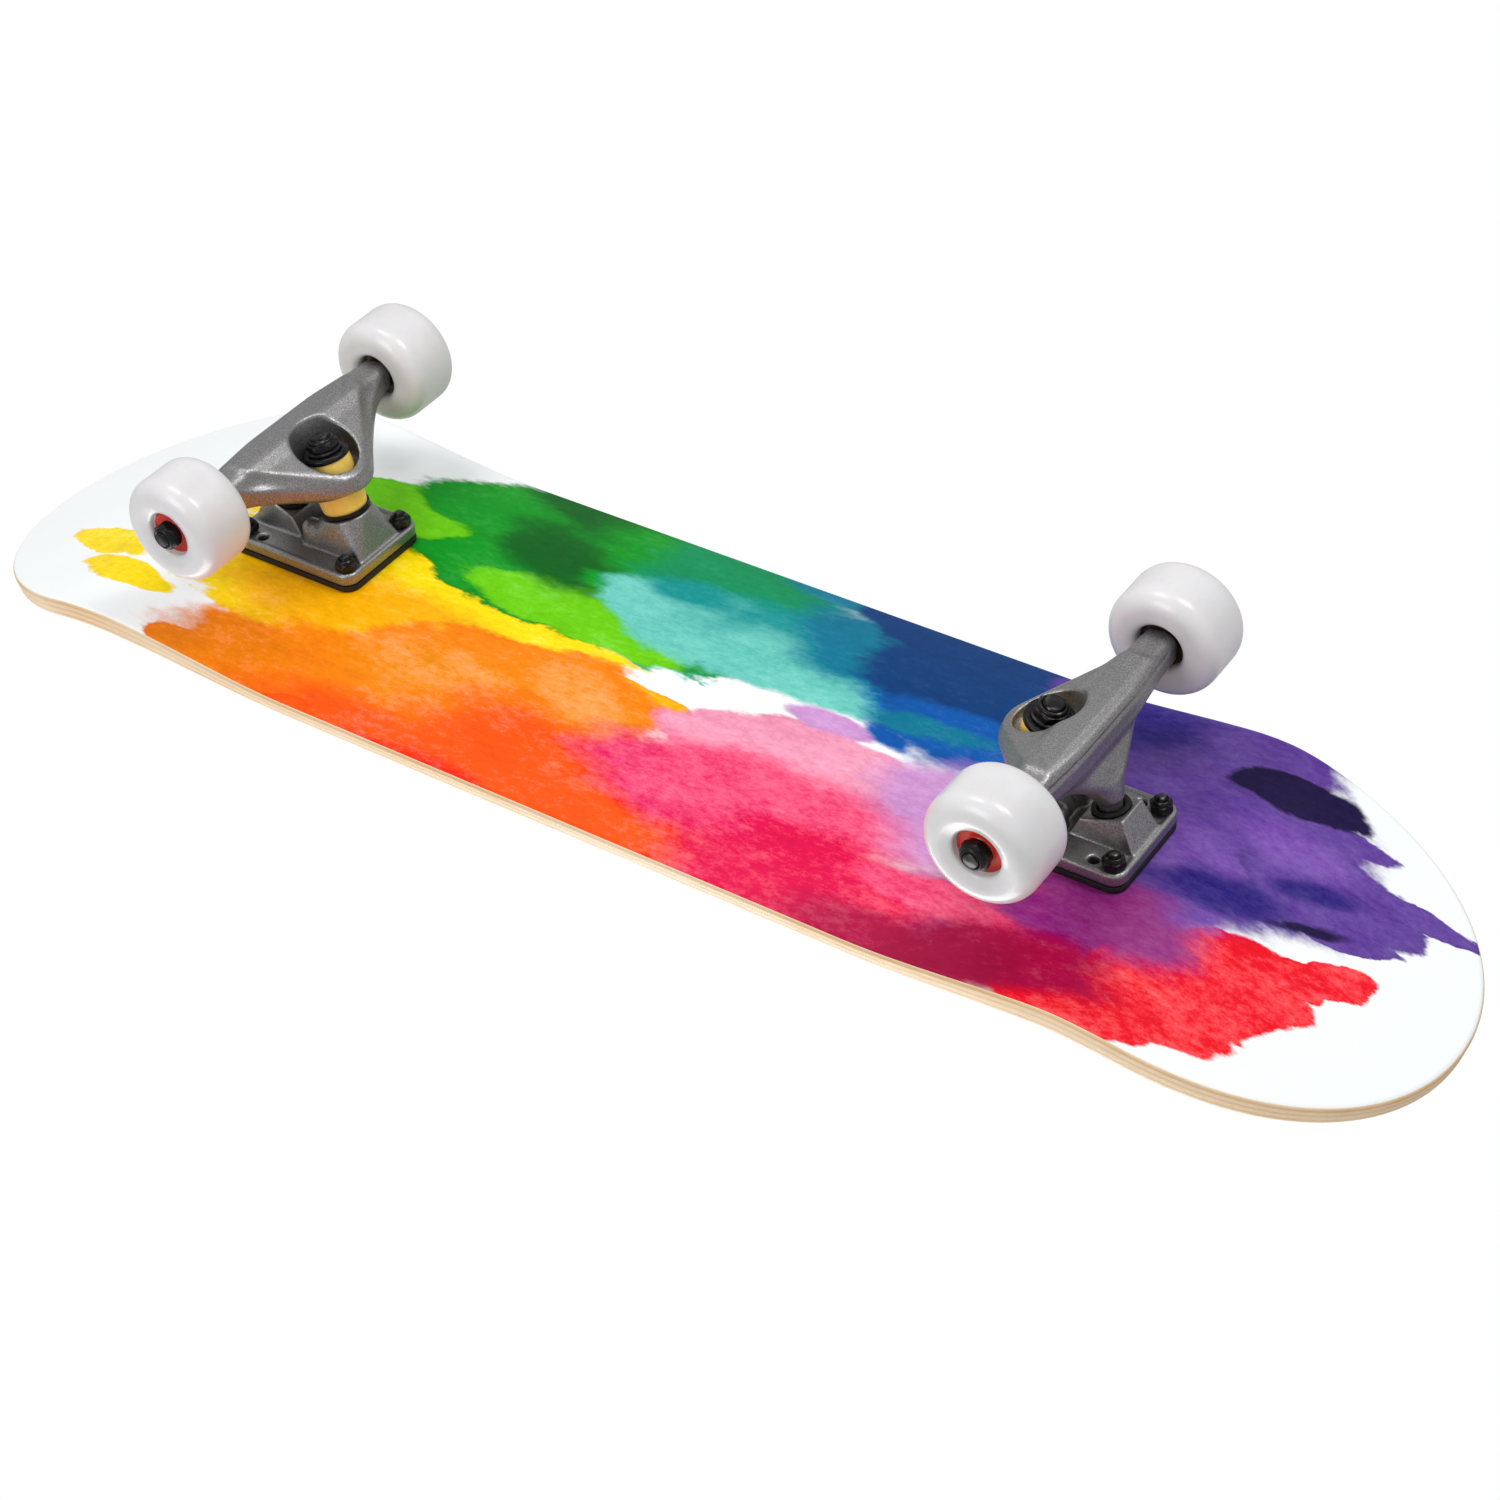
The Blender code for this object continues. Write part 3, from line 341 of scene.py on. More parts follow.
def cast_shape(name, field, low, high, step, mat, relax=3):
    """Mesh the surface where a field is zero: one vertex in each cell that it crosses."""
    axes = [np.arange(a - 2 * step, b + 2 * step, step) for a, b in zip(low, high)]
    grid = np.stack(np.meshgrid(*axes, indexing="ij"), -1).astype(np.float32)
    size = grid.shape[:3]
    d = field(grid.reshape(-1, 3)).reshape(size)
    inside = d < 0
    cells = tuple(n - 1 for n in size)
    total, count = np.zeros(cells + (3,), np.float32), np.zeros(cells, np.int32)
    crossings = []
    for axis in range(3):
        lower = [slice(None)] * 3
        upper = [slice(None)] * 3
        lower[axis], upper[axis] = slice(0, -1), slice(1, None)
        d0, d1 = d[tuple(lower)], d[tuple(upper)]
        cross = inside[tuple(lower)] != inside[tuple(upper)]
        share = np.where(cross, d0 / np.where(cross, d0 - d1, 1), 0)
        point = grid[tuple(lower)].copy()
        point[..., axis] += share * step
        point *= cross[..., None]
        crossings.append(cross)
        others = [a for a in range(3) if a != axis]
        for i in (0, 1):
            for j in (0, 1):
                part = [slice(None)] * 3
                for a, shift in zip(others, (i, j)):
                    part[a] = slice(shift, cells[a] + shift)
                total += point[tuple(part)]
                count += cross[tuple(part)]
    active = count > 0
    number = np.full(cells, -1)
    number[active] = np.arange(active.sum())
    verts = total[active] / count[active][:, None]
    quads = []
    for axis, cross in enumerate(crossings):
        b, c = (axis + 1) % 3, (axis + 2) % 3
        at = np.argwhere(cross)
        at = at[(at[:, b] > 0) & (at[:, c] > 0) & (at[:, b] < size[b] - 1) & (at[:, c] < size[c] - 1)]
        corners = []
        for sb, sc in ((-1, -1), (0, -1), (0, 0), (-1, 0)):
            cell = at.copy()
            cell[:, b] += sb
            cell[:, c] += sc
            corners.append(number[tuple(cell.T)])
        quad = np.stack(corners, 1)
        flip = ~inside[tuple(at.T)]
        quad[flip] = quad[flip][:, ::-1]
        quads.append(quad)
    quads = np.concatenate(quads)
    for _ in range(2):
        here = field(verts)
        slope = np.stack([field(verts + np.eye(3, dtype=np.float32)[a] * 0.05) - here
                          for a in range(3)], 1) / 0.05
        shift = here[:, None] * slope / np.maximum((slope * slope).sum(1, keepdims=True), 0.1)
        verts = verts - np.clip(shift, -step / 2, step / 2)
    sides = np.concatenate([quads[:, [i, (i + 1) % 4]] for i in range(4)])
    for _ in range(relax):
        near = np.zeros_like(verts)
        for a in range(3):
            near[:, a] = np.bincount(sides[:, 0], verts[sides[:, 1], a], len(verts))
            near[:, a] += np.bincount(sides[:, 1], verts[sides[:, 0], a], len(verts))
        degree = np.bincount(sides.ravel(), minlength=len(verts))
        verts = verts * 0.5 + near / degree[:, None] * 0.5
    return add_mesh(name, verts, quads.tolist(), mat)


# ---- materials ----
class Nodes:
    """Adds nodes to a tree.  A value given to an input is either a number or an output."""

    def __init__(self, tree):
        self.tree = tree

    def put(self, socket, value):
        if isinstance(value, bpy.types.NodeSocket):
            self.tree.links.new(value, socket)
        else:
            socket.default_value = value

    def add(self, kind, inputs, output=0, **settings):
        node = self.tree.nodes.new("ShaderNode" + kind)
        for key, value in settings.items():
            setattr(node, key, value)
        for key, value in inputs.items():
            self.put(node.inputs[key], value)
        return node.outputs[output]

    def math(self, operation, a, b=0.0):
        return self.add("Math", {0: a, 1: b}, operation=operation)

    def vector(self, operation, *inputs, output=0):
        return self.add("VectorMath", dict(enumerate(inputs)), output, operation=operation)

    def span(self, value, low, high, to_low=0.0, to_high=1.0, smooth=False):
        return self.add("MapRange", {0: value, 1: low, 2: high, 3: to_low, 4: to_high},
                        interpolation_type="SMOOTHSTEP" if smooth else "LINEAR")

    def mix(self, share, a, b, blend="MIX"):
        a, b = ((*c, 1.0) if isinstance(c, tuple) else c for c in (a, b))
        return self.add("Mix", {0: share, 6: a, 7: b}, 2, data_type="RGBA", blend_type=blend)


class Net(Nodes):
    """One material, whose shader inputs are set by name."""

    def __init__(self, name, **values):
        self.mat = bpy.data.materials.new(name)
        self.mat.use_nodes = True
        super().__init__(self.mat.node_tree)
        self.shader = self.tree.nodes["Principled BSDF"]
        for key, value in {"Metallic": 0.0, "Roughness": 0.5, **values}.items():
            self.set(key.replace("_", " "), value)

    def set(self, name, value):
        self.put(self.shader.inputs[name], value)

    def place(self, scale=(1.0, 1.0, 1.0)):
        """Object coordinates in millimetres, stretched."""
        return self.add("Mapping", {0: self.add("TexCoord", {}, "Object"),
                                    "Scale": tuple(s / MM for s in scale)})

    def noise(self, where, size, detail=3.0, roughness=0.55, output="Fac"):
        """Noise whose features are about that many millimetres."""
        return self.add("TexNoise", {"Vector": where, "Scale": 1.0 / size, "Detail": detail,
                                     "Roughness": roughness}, output)

    def cells(self, where, size, output="Distance"):
        return self.add("TexVoronoi", {"Vector": where, "Scale": 1.0 / size}, output)

    def pointed(self, low, high, most):
        """How much of a change to make on edges, or in hollows where high is below low."""
        return self.span(self.add("NewGeometry", {}, "Pointiness"), low, high, 0.0, most)

    def relief(self, height, strength, distance_mm):
        self.set("Normal", self.add("Bump", {"Height": height, "Strength": strength,
                                             "Distance": distance_mm * MM}))

    def finish(self, colour, roughness, *relief):
        """Set what most materials share, and give the material."""
        self.set("Base Color", colour)
        self.set("Roughness", roughness)
        self.relief(*relief)
        return self.mat


def linear(red, green, blue):
    """A colour given as 0 to 255, in scene-linear values."""
    return tuple((c / 255 / 12.92) if c <= 10 else ((c / 255 + 0.055) / 1.055) ** 2.4
                 for c in (red, green, blue))


LEMON = linear(255, 222, 2)
AMBER = linear(252, 178, 6)
ORANGE = linear(248, 134, 26)
PEACH = linear(250, 160, 84)
VERMILION = linear(250, 88, 26)
SCARLET = linear(242, 56, 38)
CRIMSON = linear(230, 46, 88)
WINE = linear(178, 16, 70)
ROSE = linear(240, 84, 124)
PINK = linear(240, 156, 184)
LILAC = linear(204, 150, 206)
PLUM = linear(150, 58, 130)
CORAL = linear(248, 66, 74)
VIOLET = linear(102, 72, 156)
MAUVE = linear(126, 86, 176)
INDIGO = linear(52, 38, 124)
INK = linear(28, 14, 64)
NAVY = linear(0, 58, 118)
BLUE = linear(16, 88, 170)
PEACOCK = linear(0, 116, 146)
TEAL = linear(22, 146, 144)
AQUA = linear(112, 202, 190)
JADE = linear(0, 144, 88)
LEAF = linear(14, 150, 34)
FOREST = linear(0, 96, 22)
LIME = linear(108, 204, 0)
PAPER = linear(246, 249, 250)

# Washes of paint from the lowest to the topmost: colour, middle x and y, half-length and half-width
# in millimetres, turn in degrees, how soft its edge is (a share of its size) and how dark its rim is.
WASHES = (
    (LEMON, 284, -62, 36, 10, 10, 0.15, 0.3),
    (LEMON, 320, -38, 42, 10, 14, 0.12, 0.3),
    (LEMON, 190, -24, 92, 46, 0, 0.1, 0.3),
    (LEMON, 118, 0, 118, 36, -4, 0.15, 0.2),
    (AMBER, -6, -19, 28, 10, 6, 0.08, 0.5),
    (AMBER, 160, -34, 100, 34, -6, 0.55, 0.0),
    (ORANGE, 204, -98, 40, 15, 4, 0.08, 0.4),
    (ORANGE, 158, -82, 98, 34, -4, 0.35, 0.1),
    (ORANGE, 66, -54, 104, 44, -12, 0.14, 0.3),
    (PEACH, 96, -48, 66, 20, -8, 0.8, 0.0),
    (PEACH, 18, -32, 46, 18, 10, 0.6, 0.0),
    (VERMILION, 96, -96, 110, 24, 0, 0.6, 0.1),
    (VERMILION, 150, -100, 18, 8, 0, 0.12, 0.5),
    (VERMILION, 18, -78, 96, 44, 0, 0.6, 0.0),
    (PEACH, 2, -46, 40, 16, 0, 0.9, 0.0),
    (SCARLET, 66, -100, 52, 12, 0, 0.5, 0.2),
    (VERMILION, -42, -86, 80, 46, 0, 0.6, 0.0),
    (AQUA, 25, 30, 74, 32, 0, 0.1, 0.4),
    (LEAF, 60, 36, 134, 38, 0, 0.08, 0.3),
    (LIME, 192, 42, 50, 24, -10, 0.1, 0.4),
    (LIME, 52, 20, 84, 18, -3, 0.1, 0.5),
    (LEAF, 116, 72, 84, 30, -4, 0.16, 0.3),
    (FOREST, 94, 50, 56, 26, 20, 0.5, 0.0),
    (FOREST, 84, 96, 80, 26, 0, 0.35, 0.0),
    (LEAF, 60, 84, 54, 20, 0, 0.7, 0.0),
    (LIME, 36, 8, 54, 10, 0, 0.25, 0.3),
    (LEAF, 55, 42, 26, 12, 0, 0.4, 0.2),
    (JADE, 6, 74, 70, 48, 0, 0.45, 0.1),
    (AQUA, 6, 38, 66, 30, 6, 0.22, 0.3),
    (AQUA, -56, 36, 82, 27, -3, 0.2, 0.4),
    (TEAL, -44, 58, 76, 30, -6, 0.6, 0.2),
    (TEAL, 26, 60, 34, 14, 0, 0.6, 0.2),
    (JADE, -8, 92, 62, 22, 0, 0.6, 0.0),
    (AQUA, -30, 40, 40, 16, 0, 0.8, 0.0),
    (PEACOCK, -76, 66, 58, 40, 0, 0.5, 0.2),
    (PEACOCK, -40, 96, 44, 16, 0, 0.45, 0.2),
    (BLUE, -168, 52, 92, 56, 0, 0.3, 0.2),
    (NAVY, -138, 70, 72, 42, 0, 0.22, 0.3),
    (NAVY, -90, 94, 54, 17, 0, 0.2, 0.4),
    (BLUE, -146, 36, 50, 16, 0, 0.5, 0.2),
    (PEACOCK, -132, 26, 44, 7, -4, 0.6, 0.2),
    (PINK, -90, -24, 72, 28, -2, 0.14, 0.3),
    (LILAC, -92, 7, 28, 9, 0, 0.3, 0.3),
    (BLUE, -118, 13, 16, 9, 20, 0.5, 0.2),
    (LILAC, -178, -16, 68, 40, -4, 0.4, 0.1),
    (ROSE, -84, -54, 104, 34, -2, 0.4, 0.1),
    (ROSE, -96, -40, 60, 12, 4, 0.8, 0.0),
    (CRIMSON, -154, -80, 104, 40, 0, 0.45, 0.1),
    (CRIMSON, -124, -98, 72, 28, 0, 0.6, 0.0),
    (WINE, -190, -94, 82, 22, -3, 0.6, 0.1),
    (CRIMSON, -110, -66, 26, 12, 0, 0.6, 0.2),
    (PLUM, -240, -40, 76, 60, -6, 0.45, 0.1),
    (LILAC, -176, -32, 46, 30, 0, 0.9, 0.0),
    (ROSE, -192, -64, 48, 11, 4, 0.3, 0.3),
    (CORAL, -282, -82, 52, 20, -22, 0.12, 0.4),
    (CORAL, -304, -50, 46, 30, -46, 0.08, 0.4),
    (CORAL, -340, -14, 32, 9, -30, 0.1, 0.4),
    (WINE, -238, -80, 56, 22, -10, 0.5, 0.0),
    (PLUM, -262, -36, 50, 34, -10, 0.5, 0.1),
    (MAUVE, -272, -14, 44, 22, -10, 0.6, 0.0),
    (ROSE, -226, -32, 26, 12, 0, 0.7, 0.0),
    (VIOLET, -262, 32, 92, 58, -6, 0.24, 0.2),
    (VIOLET, -232, 86, 82, 28, 0, 0.2, 0.3),
    (MAUVE, -250, 16, 50, 20, 0, 0.6, 0.1),
    (PLUM, -248, -30, 44, 20, -6, 0.6, 0.0),
    (VIOLET, -322, 32, 46, 25, -12, 0.1, 0.4),
    (VIOLET, -350, 48, 36, 7, -8, 0.1, 0.4),
    (VIOLET, -340, 16, 26, 7, -14, 0.12, 0.3),
    (MAUVE, -300, 44, 44, 16, -8, 0.7, 0.0),
    (VIOLET, -302, 64, 44, 7, -10, 0.12, 0.3),
    (INDIGO, -206, 80, 54, 26, 0, 0.6, 0.0),
    (INK, -292, 73, 36, 14, -18, 0.16, 0.3),
    (INDIGO, -284, 2, 40, 16, -16, 0.6, 0.0),
    (INK, -322, 10, 24, 4, -22, 0.6, 0.1),
    (INDIGO, -318, 30, 30, 8, -20, 0.6, 0.0),
    )


GRAPHIC_PARTS = 10
WANDER = 20.0                     # millimetres that the noise can move a wash's edge
WASH_INPUTS = {"Under": "Color", "Paint": "Color", "Point": "Vector", "Ragged": "Float",
               "Middle": "Vector", "Turn": "Vector", "Reach": "Vector", "Soft": "Float", "Rim": "Float"}


def wash_group():
    """A node group that lays one wash of paint over what is under it."""
    group = bpy.data.node_groups.new("wash", "ShaderNodeTree")
    for name, kind in WASH_INPUTS.items():
        group.interface.new_socket(name, in_out="INPUT", socket_type="NodeSocket" + kind)
    group.interface.new_socket("Colour", in_out="OUTPUT", socket_type="NodeSocketColor")
    net = Nodes(group)
    given = group.nodes.new("NodeGroupInput").outputs
    # the point waits for the colour under it, so the washes are worked out one after another
    point = net.vector("MULTIPLY_ADD", given["Under"], (1e-6, 1e-6, 1e-6), given["Point"])
    local = net.add("Mapping", {0: point, "Location": given["Middle"], "Rotation": given["Turn"],
                                "Scale": given["Reach"]}, vector_type="TEXTURE")
    far = net.math("ADD", net.vector("LENGTH", local, output=1), given["Ragged"])
    mask = net.span(far, 1.0, net.math("SUBTRACT", 1.0, given["Soft"]), smooth=True)
    rim = net.span(far, 0.80, 0.99, 0.0, given["Rim"], smooth=True)
    dark = net.mix(rim, given["Paint"], given["Paint"], "MULTIPLY")
    out = group.nodes.new("NodeGroupOutput")
    net.put(out.inputs["Colour"], net.mix(mask, given["Under"], dark))
    return group


WASH = wash_group()


def graphic_paint(index):
    """The lacquered underside: an abstract wash of colours, with soft bleeds and ragged edges.

    The board is shared lengthwise between several copies, each with only the washes that reach it.
    """
    net = Net(f"underside_graphic_{index}", Roughness=0.42, Specular_IOR_Level=0.12)
    low = -DECK_TIP + 2 * DECK_TIP * index / GRAPHIC_PARTS
    high = low + 2 * DECK_TIP / GRAPHIC_PARTS
    streaked = net.place((0.42, 1.0, 1.0))
    point = net.place()
    for noise, most in (((34, 2.0, 0.5), (34.0, 22.0, 0.0)), ((5.5, 3.0, 0.6), (7.0, 3.6, 0.0))):
        shift = net.vector("SUBTRACT", net.noise(streaked, *noise, "Color"), (0.5, 0.5, 0.5))
        point = net.vector("ADD", point, net.vector("MULTIPLY", shift, most))
    flat = net.vector("MULTIPLY", point, (1.0, 1.0, 0.0))
    ragged = net.span(net.noise(streaked, 13, 4.0, 0.65), 0.3, 0.7, -0.10, 0.10)
    colour = net.add("RGB", {})
    colour.default_value = (*PAPER, 1.0)
    for paint, x, y, long, wide, turn, soft, rim in WASHES:
        reach = 1.12 * math.hypot(long * math.cos(math.radians(turn)), wide * math.sin(math.radians(turn)))
        if x + reach + WANDER < low or x - reach - WANDER > high:
            continue
        colour = net.add("Group", {
            "Under": colour, "Point": flat, "Ragged": ragged, "Paint": (*paint, 1.0), "Middle": (x, y, 0.0),
            "Turn": (0.0, 0.0, math.radians(turn)), "Reach": (long, wide, 1.0), "Soft": soft, "Rim": rim,
        }, "Colour", node_tree=WASH)
    # pigment gathers in the hollows of the paper: darker where there is more of it
    grain = net.noise(net.place((0.5, 1.0, 1.0)), 3.0, 4.0, 0.8)
    cloud = net.noise(streaked, 20, 4.0, 0.65)
    depth = net.math("ADD", net.span(grain, 0.32, 0.68, -0.26, 0.26),
                     net.span(cloud, 0.3, 0.7, -0.24, 0.24))
    toned = net.add("HueSaturation", {"Saturation": net.span(depth, -0.4, 0.4, 0.93, 1.12),
                                      "Value": net.span(depth, -0.4, 0.4, 1.14, 0.80), "Color": colour})
    # bare paper stays clean
    split = net.add("SeparateColor", {0: colour}, 1, mode="HSV")
    painted = net.span(split, 0.02, 0.25)
    net.set("Base Color", net.mix(painted, colour, toned))
    fibre = net.noise(net.place((0.02, 1.0, 1.0)), 1.2, 2.0)
    net.relief(fibre, 0.08, 0.05)
    return net.mat


def ply_edge():
    """Seven plies seen on edge: long grain and end grain in turn, with thin glue lines."""
    net = Net("maple_ply_edge")
    depth = net.add("Attribute", {}, "Fac", attribute_name="ply")
    where = net.place((0.03, 1.0, 1.0))
    wander = net.span(net.noise(where, 6, 2.0), 0.0, 1.0, -0.16, 0.16)
    ply = net.math("ADD", net.math("MULTIPLY", depth, 7.0), wander)
    wave = net.math("PINGPONG", ply, 1.0)
    body = net.mix(net.span(wave, 0.35, 0.65, smooth=True), linear(244, 220, 184), linear(232, 194, 144))
    along = net.math("FRACT", ply)
    glue = net.math("MAXIMUM", net.span(along, 0.09, 0.0), net.span(along, 0.92, 1.0))
    body = net.mix(net.math("MULTIPLY", glue, 0.55), body, linear(160, 112, 68))
    grain = net.noise(net.place((0.06, 0.9, 0.9)), 0.9, 4.0, 0.7)
    body = net.mix(net.span(grain, 0.35, 0.7, 0.0, 0.35), body, linear(206, 158, 108))
    pale = net.noise(net.place((0.25, 1.0, 1.0)), 26, 2.0)
    body = net.mix(net.span(pale, 0.4, 0.65, 0.0, 0.40), body, linear(250, 234, 210))
    return net.finish(body, net.span(grain, 0.3, 0.7, 0.42, 0.62), net.math("ADD", grain, glue), 0.35, 0.12)


def ply_face():
    """The bare top veneer, which shows only as a rim round the grip tape."""
    net = Net("maple_face")
    grain = net.noise(net.place((0.03, 1.0, 1.0)), 1.6, 5.0, 0.65)
    colour = net.mix(net.span(grain, 0.3, 0.7), linear(222, 186, 142), linear(196, 150, 100))
    return net.finish(colour, 0.45, grain, 0.2, 0.08)


def grip_grit():
    net = Net("black_grit", Specular_IOR_Level=0.35)
    where = net.place()
    grit = net.cells(where, 0.75)
    coarse = net.noise(where, 1.6, 2.0)
    worn = net.noise(where, 60, 4.0, 0.6)
    base = net.mix(net.span(worn, 0.35, 0.7), linear(20, 20, 22), linear(38, 38, 40))
    glint = net.span(net.cells(where, 0.62, output="Color"), 0.93, 0.97)
    colour = net.mix(net.math("MULTIPLY", glint, 0.7), base, linear(120, 120, 126))
    rough = net.span(glint, 0.0, 1.0, 0.92, 0.3)
    return net.finish(colour, rough, net.math("ADD", grit, coarse), 0.9, 0.35)


def cast_aluminium():
    """Raw sand casting: a mid grey skin with a fine sparkle, painted highlights on its edges and painted
    shade in its hollows.
    """
    net = Net("cast_aluminium", Metallic=0.88)
    where = net.place()
    speck = net.noise(where, 0.7, 3.0, 0.7)
    blotch = net.noise(where, 9, 4.0, 0.6)
    tone = net.mix(net.span(speck, 0.36, 0.66), linear(118, 117, 118), linear(178, 177, 177))
    tone = net.mix(net.span(blotch, 0.35, 0.7, 0.0, 0.35), tone, linear(128, 126, 126))
    # painted highlight: edges turn near white, as if catching the light
    tone = net.mix(net.pointed(0.53, 0.60, 0.75), tone, linear(226, 225, 224))
    # painted shade: hollows and creases turn dark grey, where shade falls
    tone = net.mix(net.pointed(0.47, 0.40, 0.4), tone, linear(52, 50, 50))
    pits = net.noise(where, 1.1, 4.0, 0.7)
    return net.finish(tone, net.span(speck, 0.3, 0.7, 0.50, 0.34), pits, 0.4, 0.12)


def black_oxide():
    net = Net("black_oxide", Metallic=0.75)
    where = net.place()
    wear = net.noise(where, 2.4, 4.0, 0.65)
    tone = net.mix(net.span(wear, 0.35, 0.7), linear(26, 26, 28), linear(46, 45, 47))
    tone = net.mix(net.pointed(0.55, 0.66, 0.5), tone, linear(120, 118, 116))
    return net.finish(tone, net.span(wear, 0.3, 0.7, 0.22, 0.40), net.noise(where, 0.6, 2.0), 0.15, 0.05)


def bright_steel():
    net = Net("bright_steel", Metallic=1.0)
    tone = net.mix(net.noise(net.place(), 4), linear(186, 186, 190), linear(158, 157, 160))
    lines = net.noise(net.place((1.0, 1.0, 0.05)), 0.35, 2.0)
    return net.finish(tone, net.span(lines, 0.3, 0.7, 0.22, 0.38), lines, 0.12, 0.03)


def mottled(name, patches, turn, colours, gloss, roughness, relief, bump, **values):
    """A material whose colour, gloss and relief each vary with a noise of their own."""
    net = Net(name, **values)
    where = net.place()
    share = net.noise(where, *patches)
    if turn:
        share = net.span(share, *turn)
    return net.finish(net.mix(share, *colours), net.span(net.noise(where, *gloss), 0.3, 0.7, *roughness),
                      net.noise(where, *relief), *bump)


MATS = {
    "edge": ply_edge(), "veneer": ply_face(), "grip": grip_grit(), "cast": cast_aluminium(),
    "black": black_oxide(), "steel": bright_steel(),
    "rubber": mottled("black_rubber", (3.0, 5.0, 0.7), (0.4, 0.75),
                      (linear(16, 16, 17), linear(40, 39, 39)), (3.0, 5.0, 0.7), (0.5, 0.7),
                      (0.5, 3.0), (0.25, 0.06), Specular_IOR_Level=0.35),
    "bushing": mottled("yellow_urethane", (5.0, 3.0), (0.35, 0.65),
                       (linear(255, 222, 116), linear(252, 206, 88)), (1.5, 3.0), (0.38, 0.55),
                       (0.8, 3.0), (0.12, 0.05), Subsurface_Weight=0.12, Subsurface_Scale=0.002),
    "urethane": mottled("white_urethane", (16.0, 3.0), (0.35, 0.65),
                        (linear(224, 223, 224), linear(218, 217, 218)), (3.0, 4.0), (0.28, 0.40),
                        (1.6, 3.0), (0.05, 0.05), Subsurface_Weight=0.1, Subsurface_Scale=0.003,
                        Coat_Weight=0.35, Coat_Roughness=0.12),
    "shield": mottled("red_shield", (2.0, 3.0), None, (linear(222, 44, 6), linear(204, 36, 6)),
                      (0.8, 3.0), (0.36, 0.52), (0.5, 2.0), (0.12, 0.04)),
    # the open side of a bearing: a dull cage, dark partly from a trace of grease and partly as painted
    # shade for the shadowed gap round the hanger's end
    "cage": mottled("bronze_cage_with_painted_shade", (2.5, 3.0), None, (linear(74, 56, 34), linear(40, 34, 28)),
                    (1.0, 3.0), (0.3, 0.55), (0.8, 2.0), (0.3, 0.1), Metallic=0.5),
}


# ---- deck ----
def kick_height(run, end):
    slope = math.radians(end["angle"])
    arc = end["bend"] * math.sin(slope)
    bent = end["bend"] - np.sqrt(end["bend"] ** 2 - np.clip(run, 0, arc) ** 2)
    return bent + np.maximum(run - arc, 0) * math.tan(slope)


def underside(x, y):
    """Height of the deck's underside, in millimetres."""
    run = x - TRUCK_MID_X / MM
    rise = kick_height(run - NOSE["kick_from"], NOSE) + kick_height(-run - TAIL["kick_from"], TAIL)
    t = np.clip((np.abs(run) - CONCAVE_FADE[0]) / (CONCAVE_FADE[1] - CONCAVE_FADE[0]), 0, 1)
    off_flat = np.maximum(0, np.abs(y) - CONCAVE_FLAT) / (DECK_HALF - CONCAVE_FLAT)
    return UNDERSIDE_Z + rise + CONCAVE_RISE * off_flat ** 2 * (1 - t * t * (3 - 2 * t))


def deck_points(x, y, depth):
    """Points that lie depth above the underside, square to it."""
    x, y = np.broadcast_arrays(np.asarray(x, float), np.asarray(y, float))
    slope_x = (underside(x + 1, y) - underside(x - 1, y)) / 2
    slope_y = (underside(x, y + 1) - underside(x, y - 1)) / 2
    reach = depth / np.sqrt(1 + slope_x ** 2 + slope_y ** 2)
    return np.stack((x - reach * slope_x, y - reach * slope_y, underside(x, y) + reach), -1)


def outline(inset, steps_end=44, steps_middle=64):
    """(x, half-width) along the board from the tail's tip to the nose's tip."""
    mid = TRUCK_MID_X / MM
    tip, half = LOOKS_TIP - inset, DECK_HALF - LOOKS_GAP - inset
    angles = np.linspace(0, math.pi / 2, steps_end + 1)
    along = np.sin(angles) ** (2 / OUTLINE_POWER_X)
    across = np.maximum(np.cos(angles), 0) ** (2 / OUTLINE_POWER_Y)
    across[-1] = 0
    nose_from, tail_from = mid + NOSE["round_from"], mid - TAIL["round_from"]
    nose = np.stack((nose_from + (tip - nose_from) * along, half * across), 1)
    tail = np.stack((tail_from - (tip + tail_from) * along, half * across), 1)[::-1]
    middle = np.linspace(tail_from, nose_from, steps_middle + 1)[1:-1]
    return np.concatenate((tail, np.stack((middle, np.full(len(middle), half)), 1), nose))


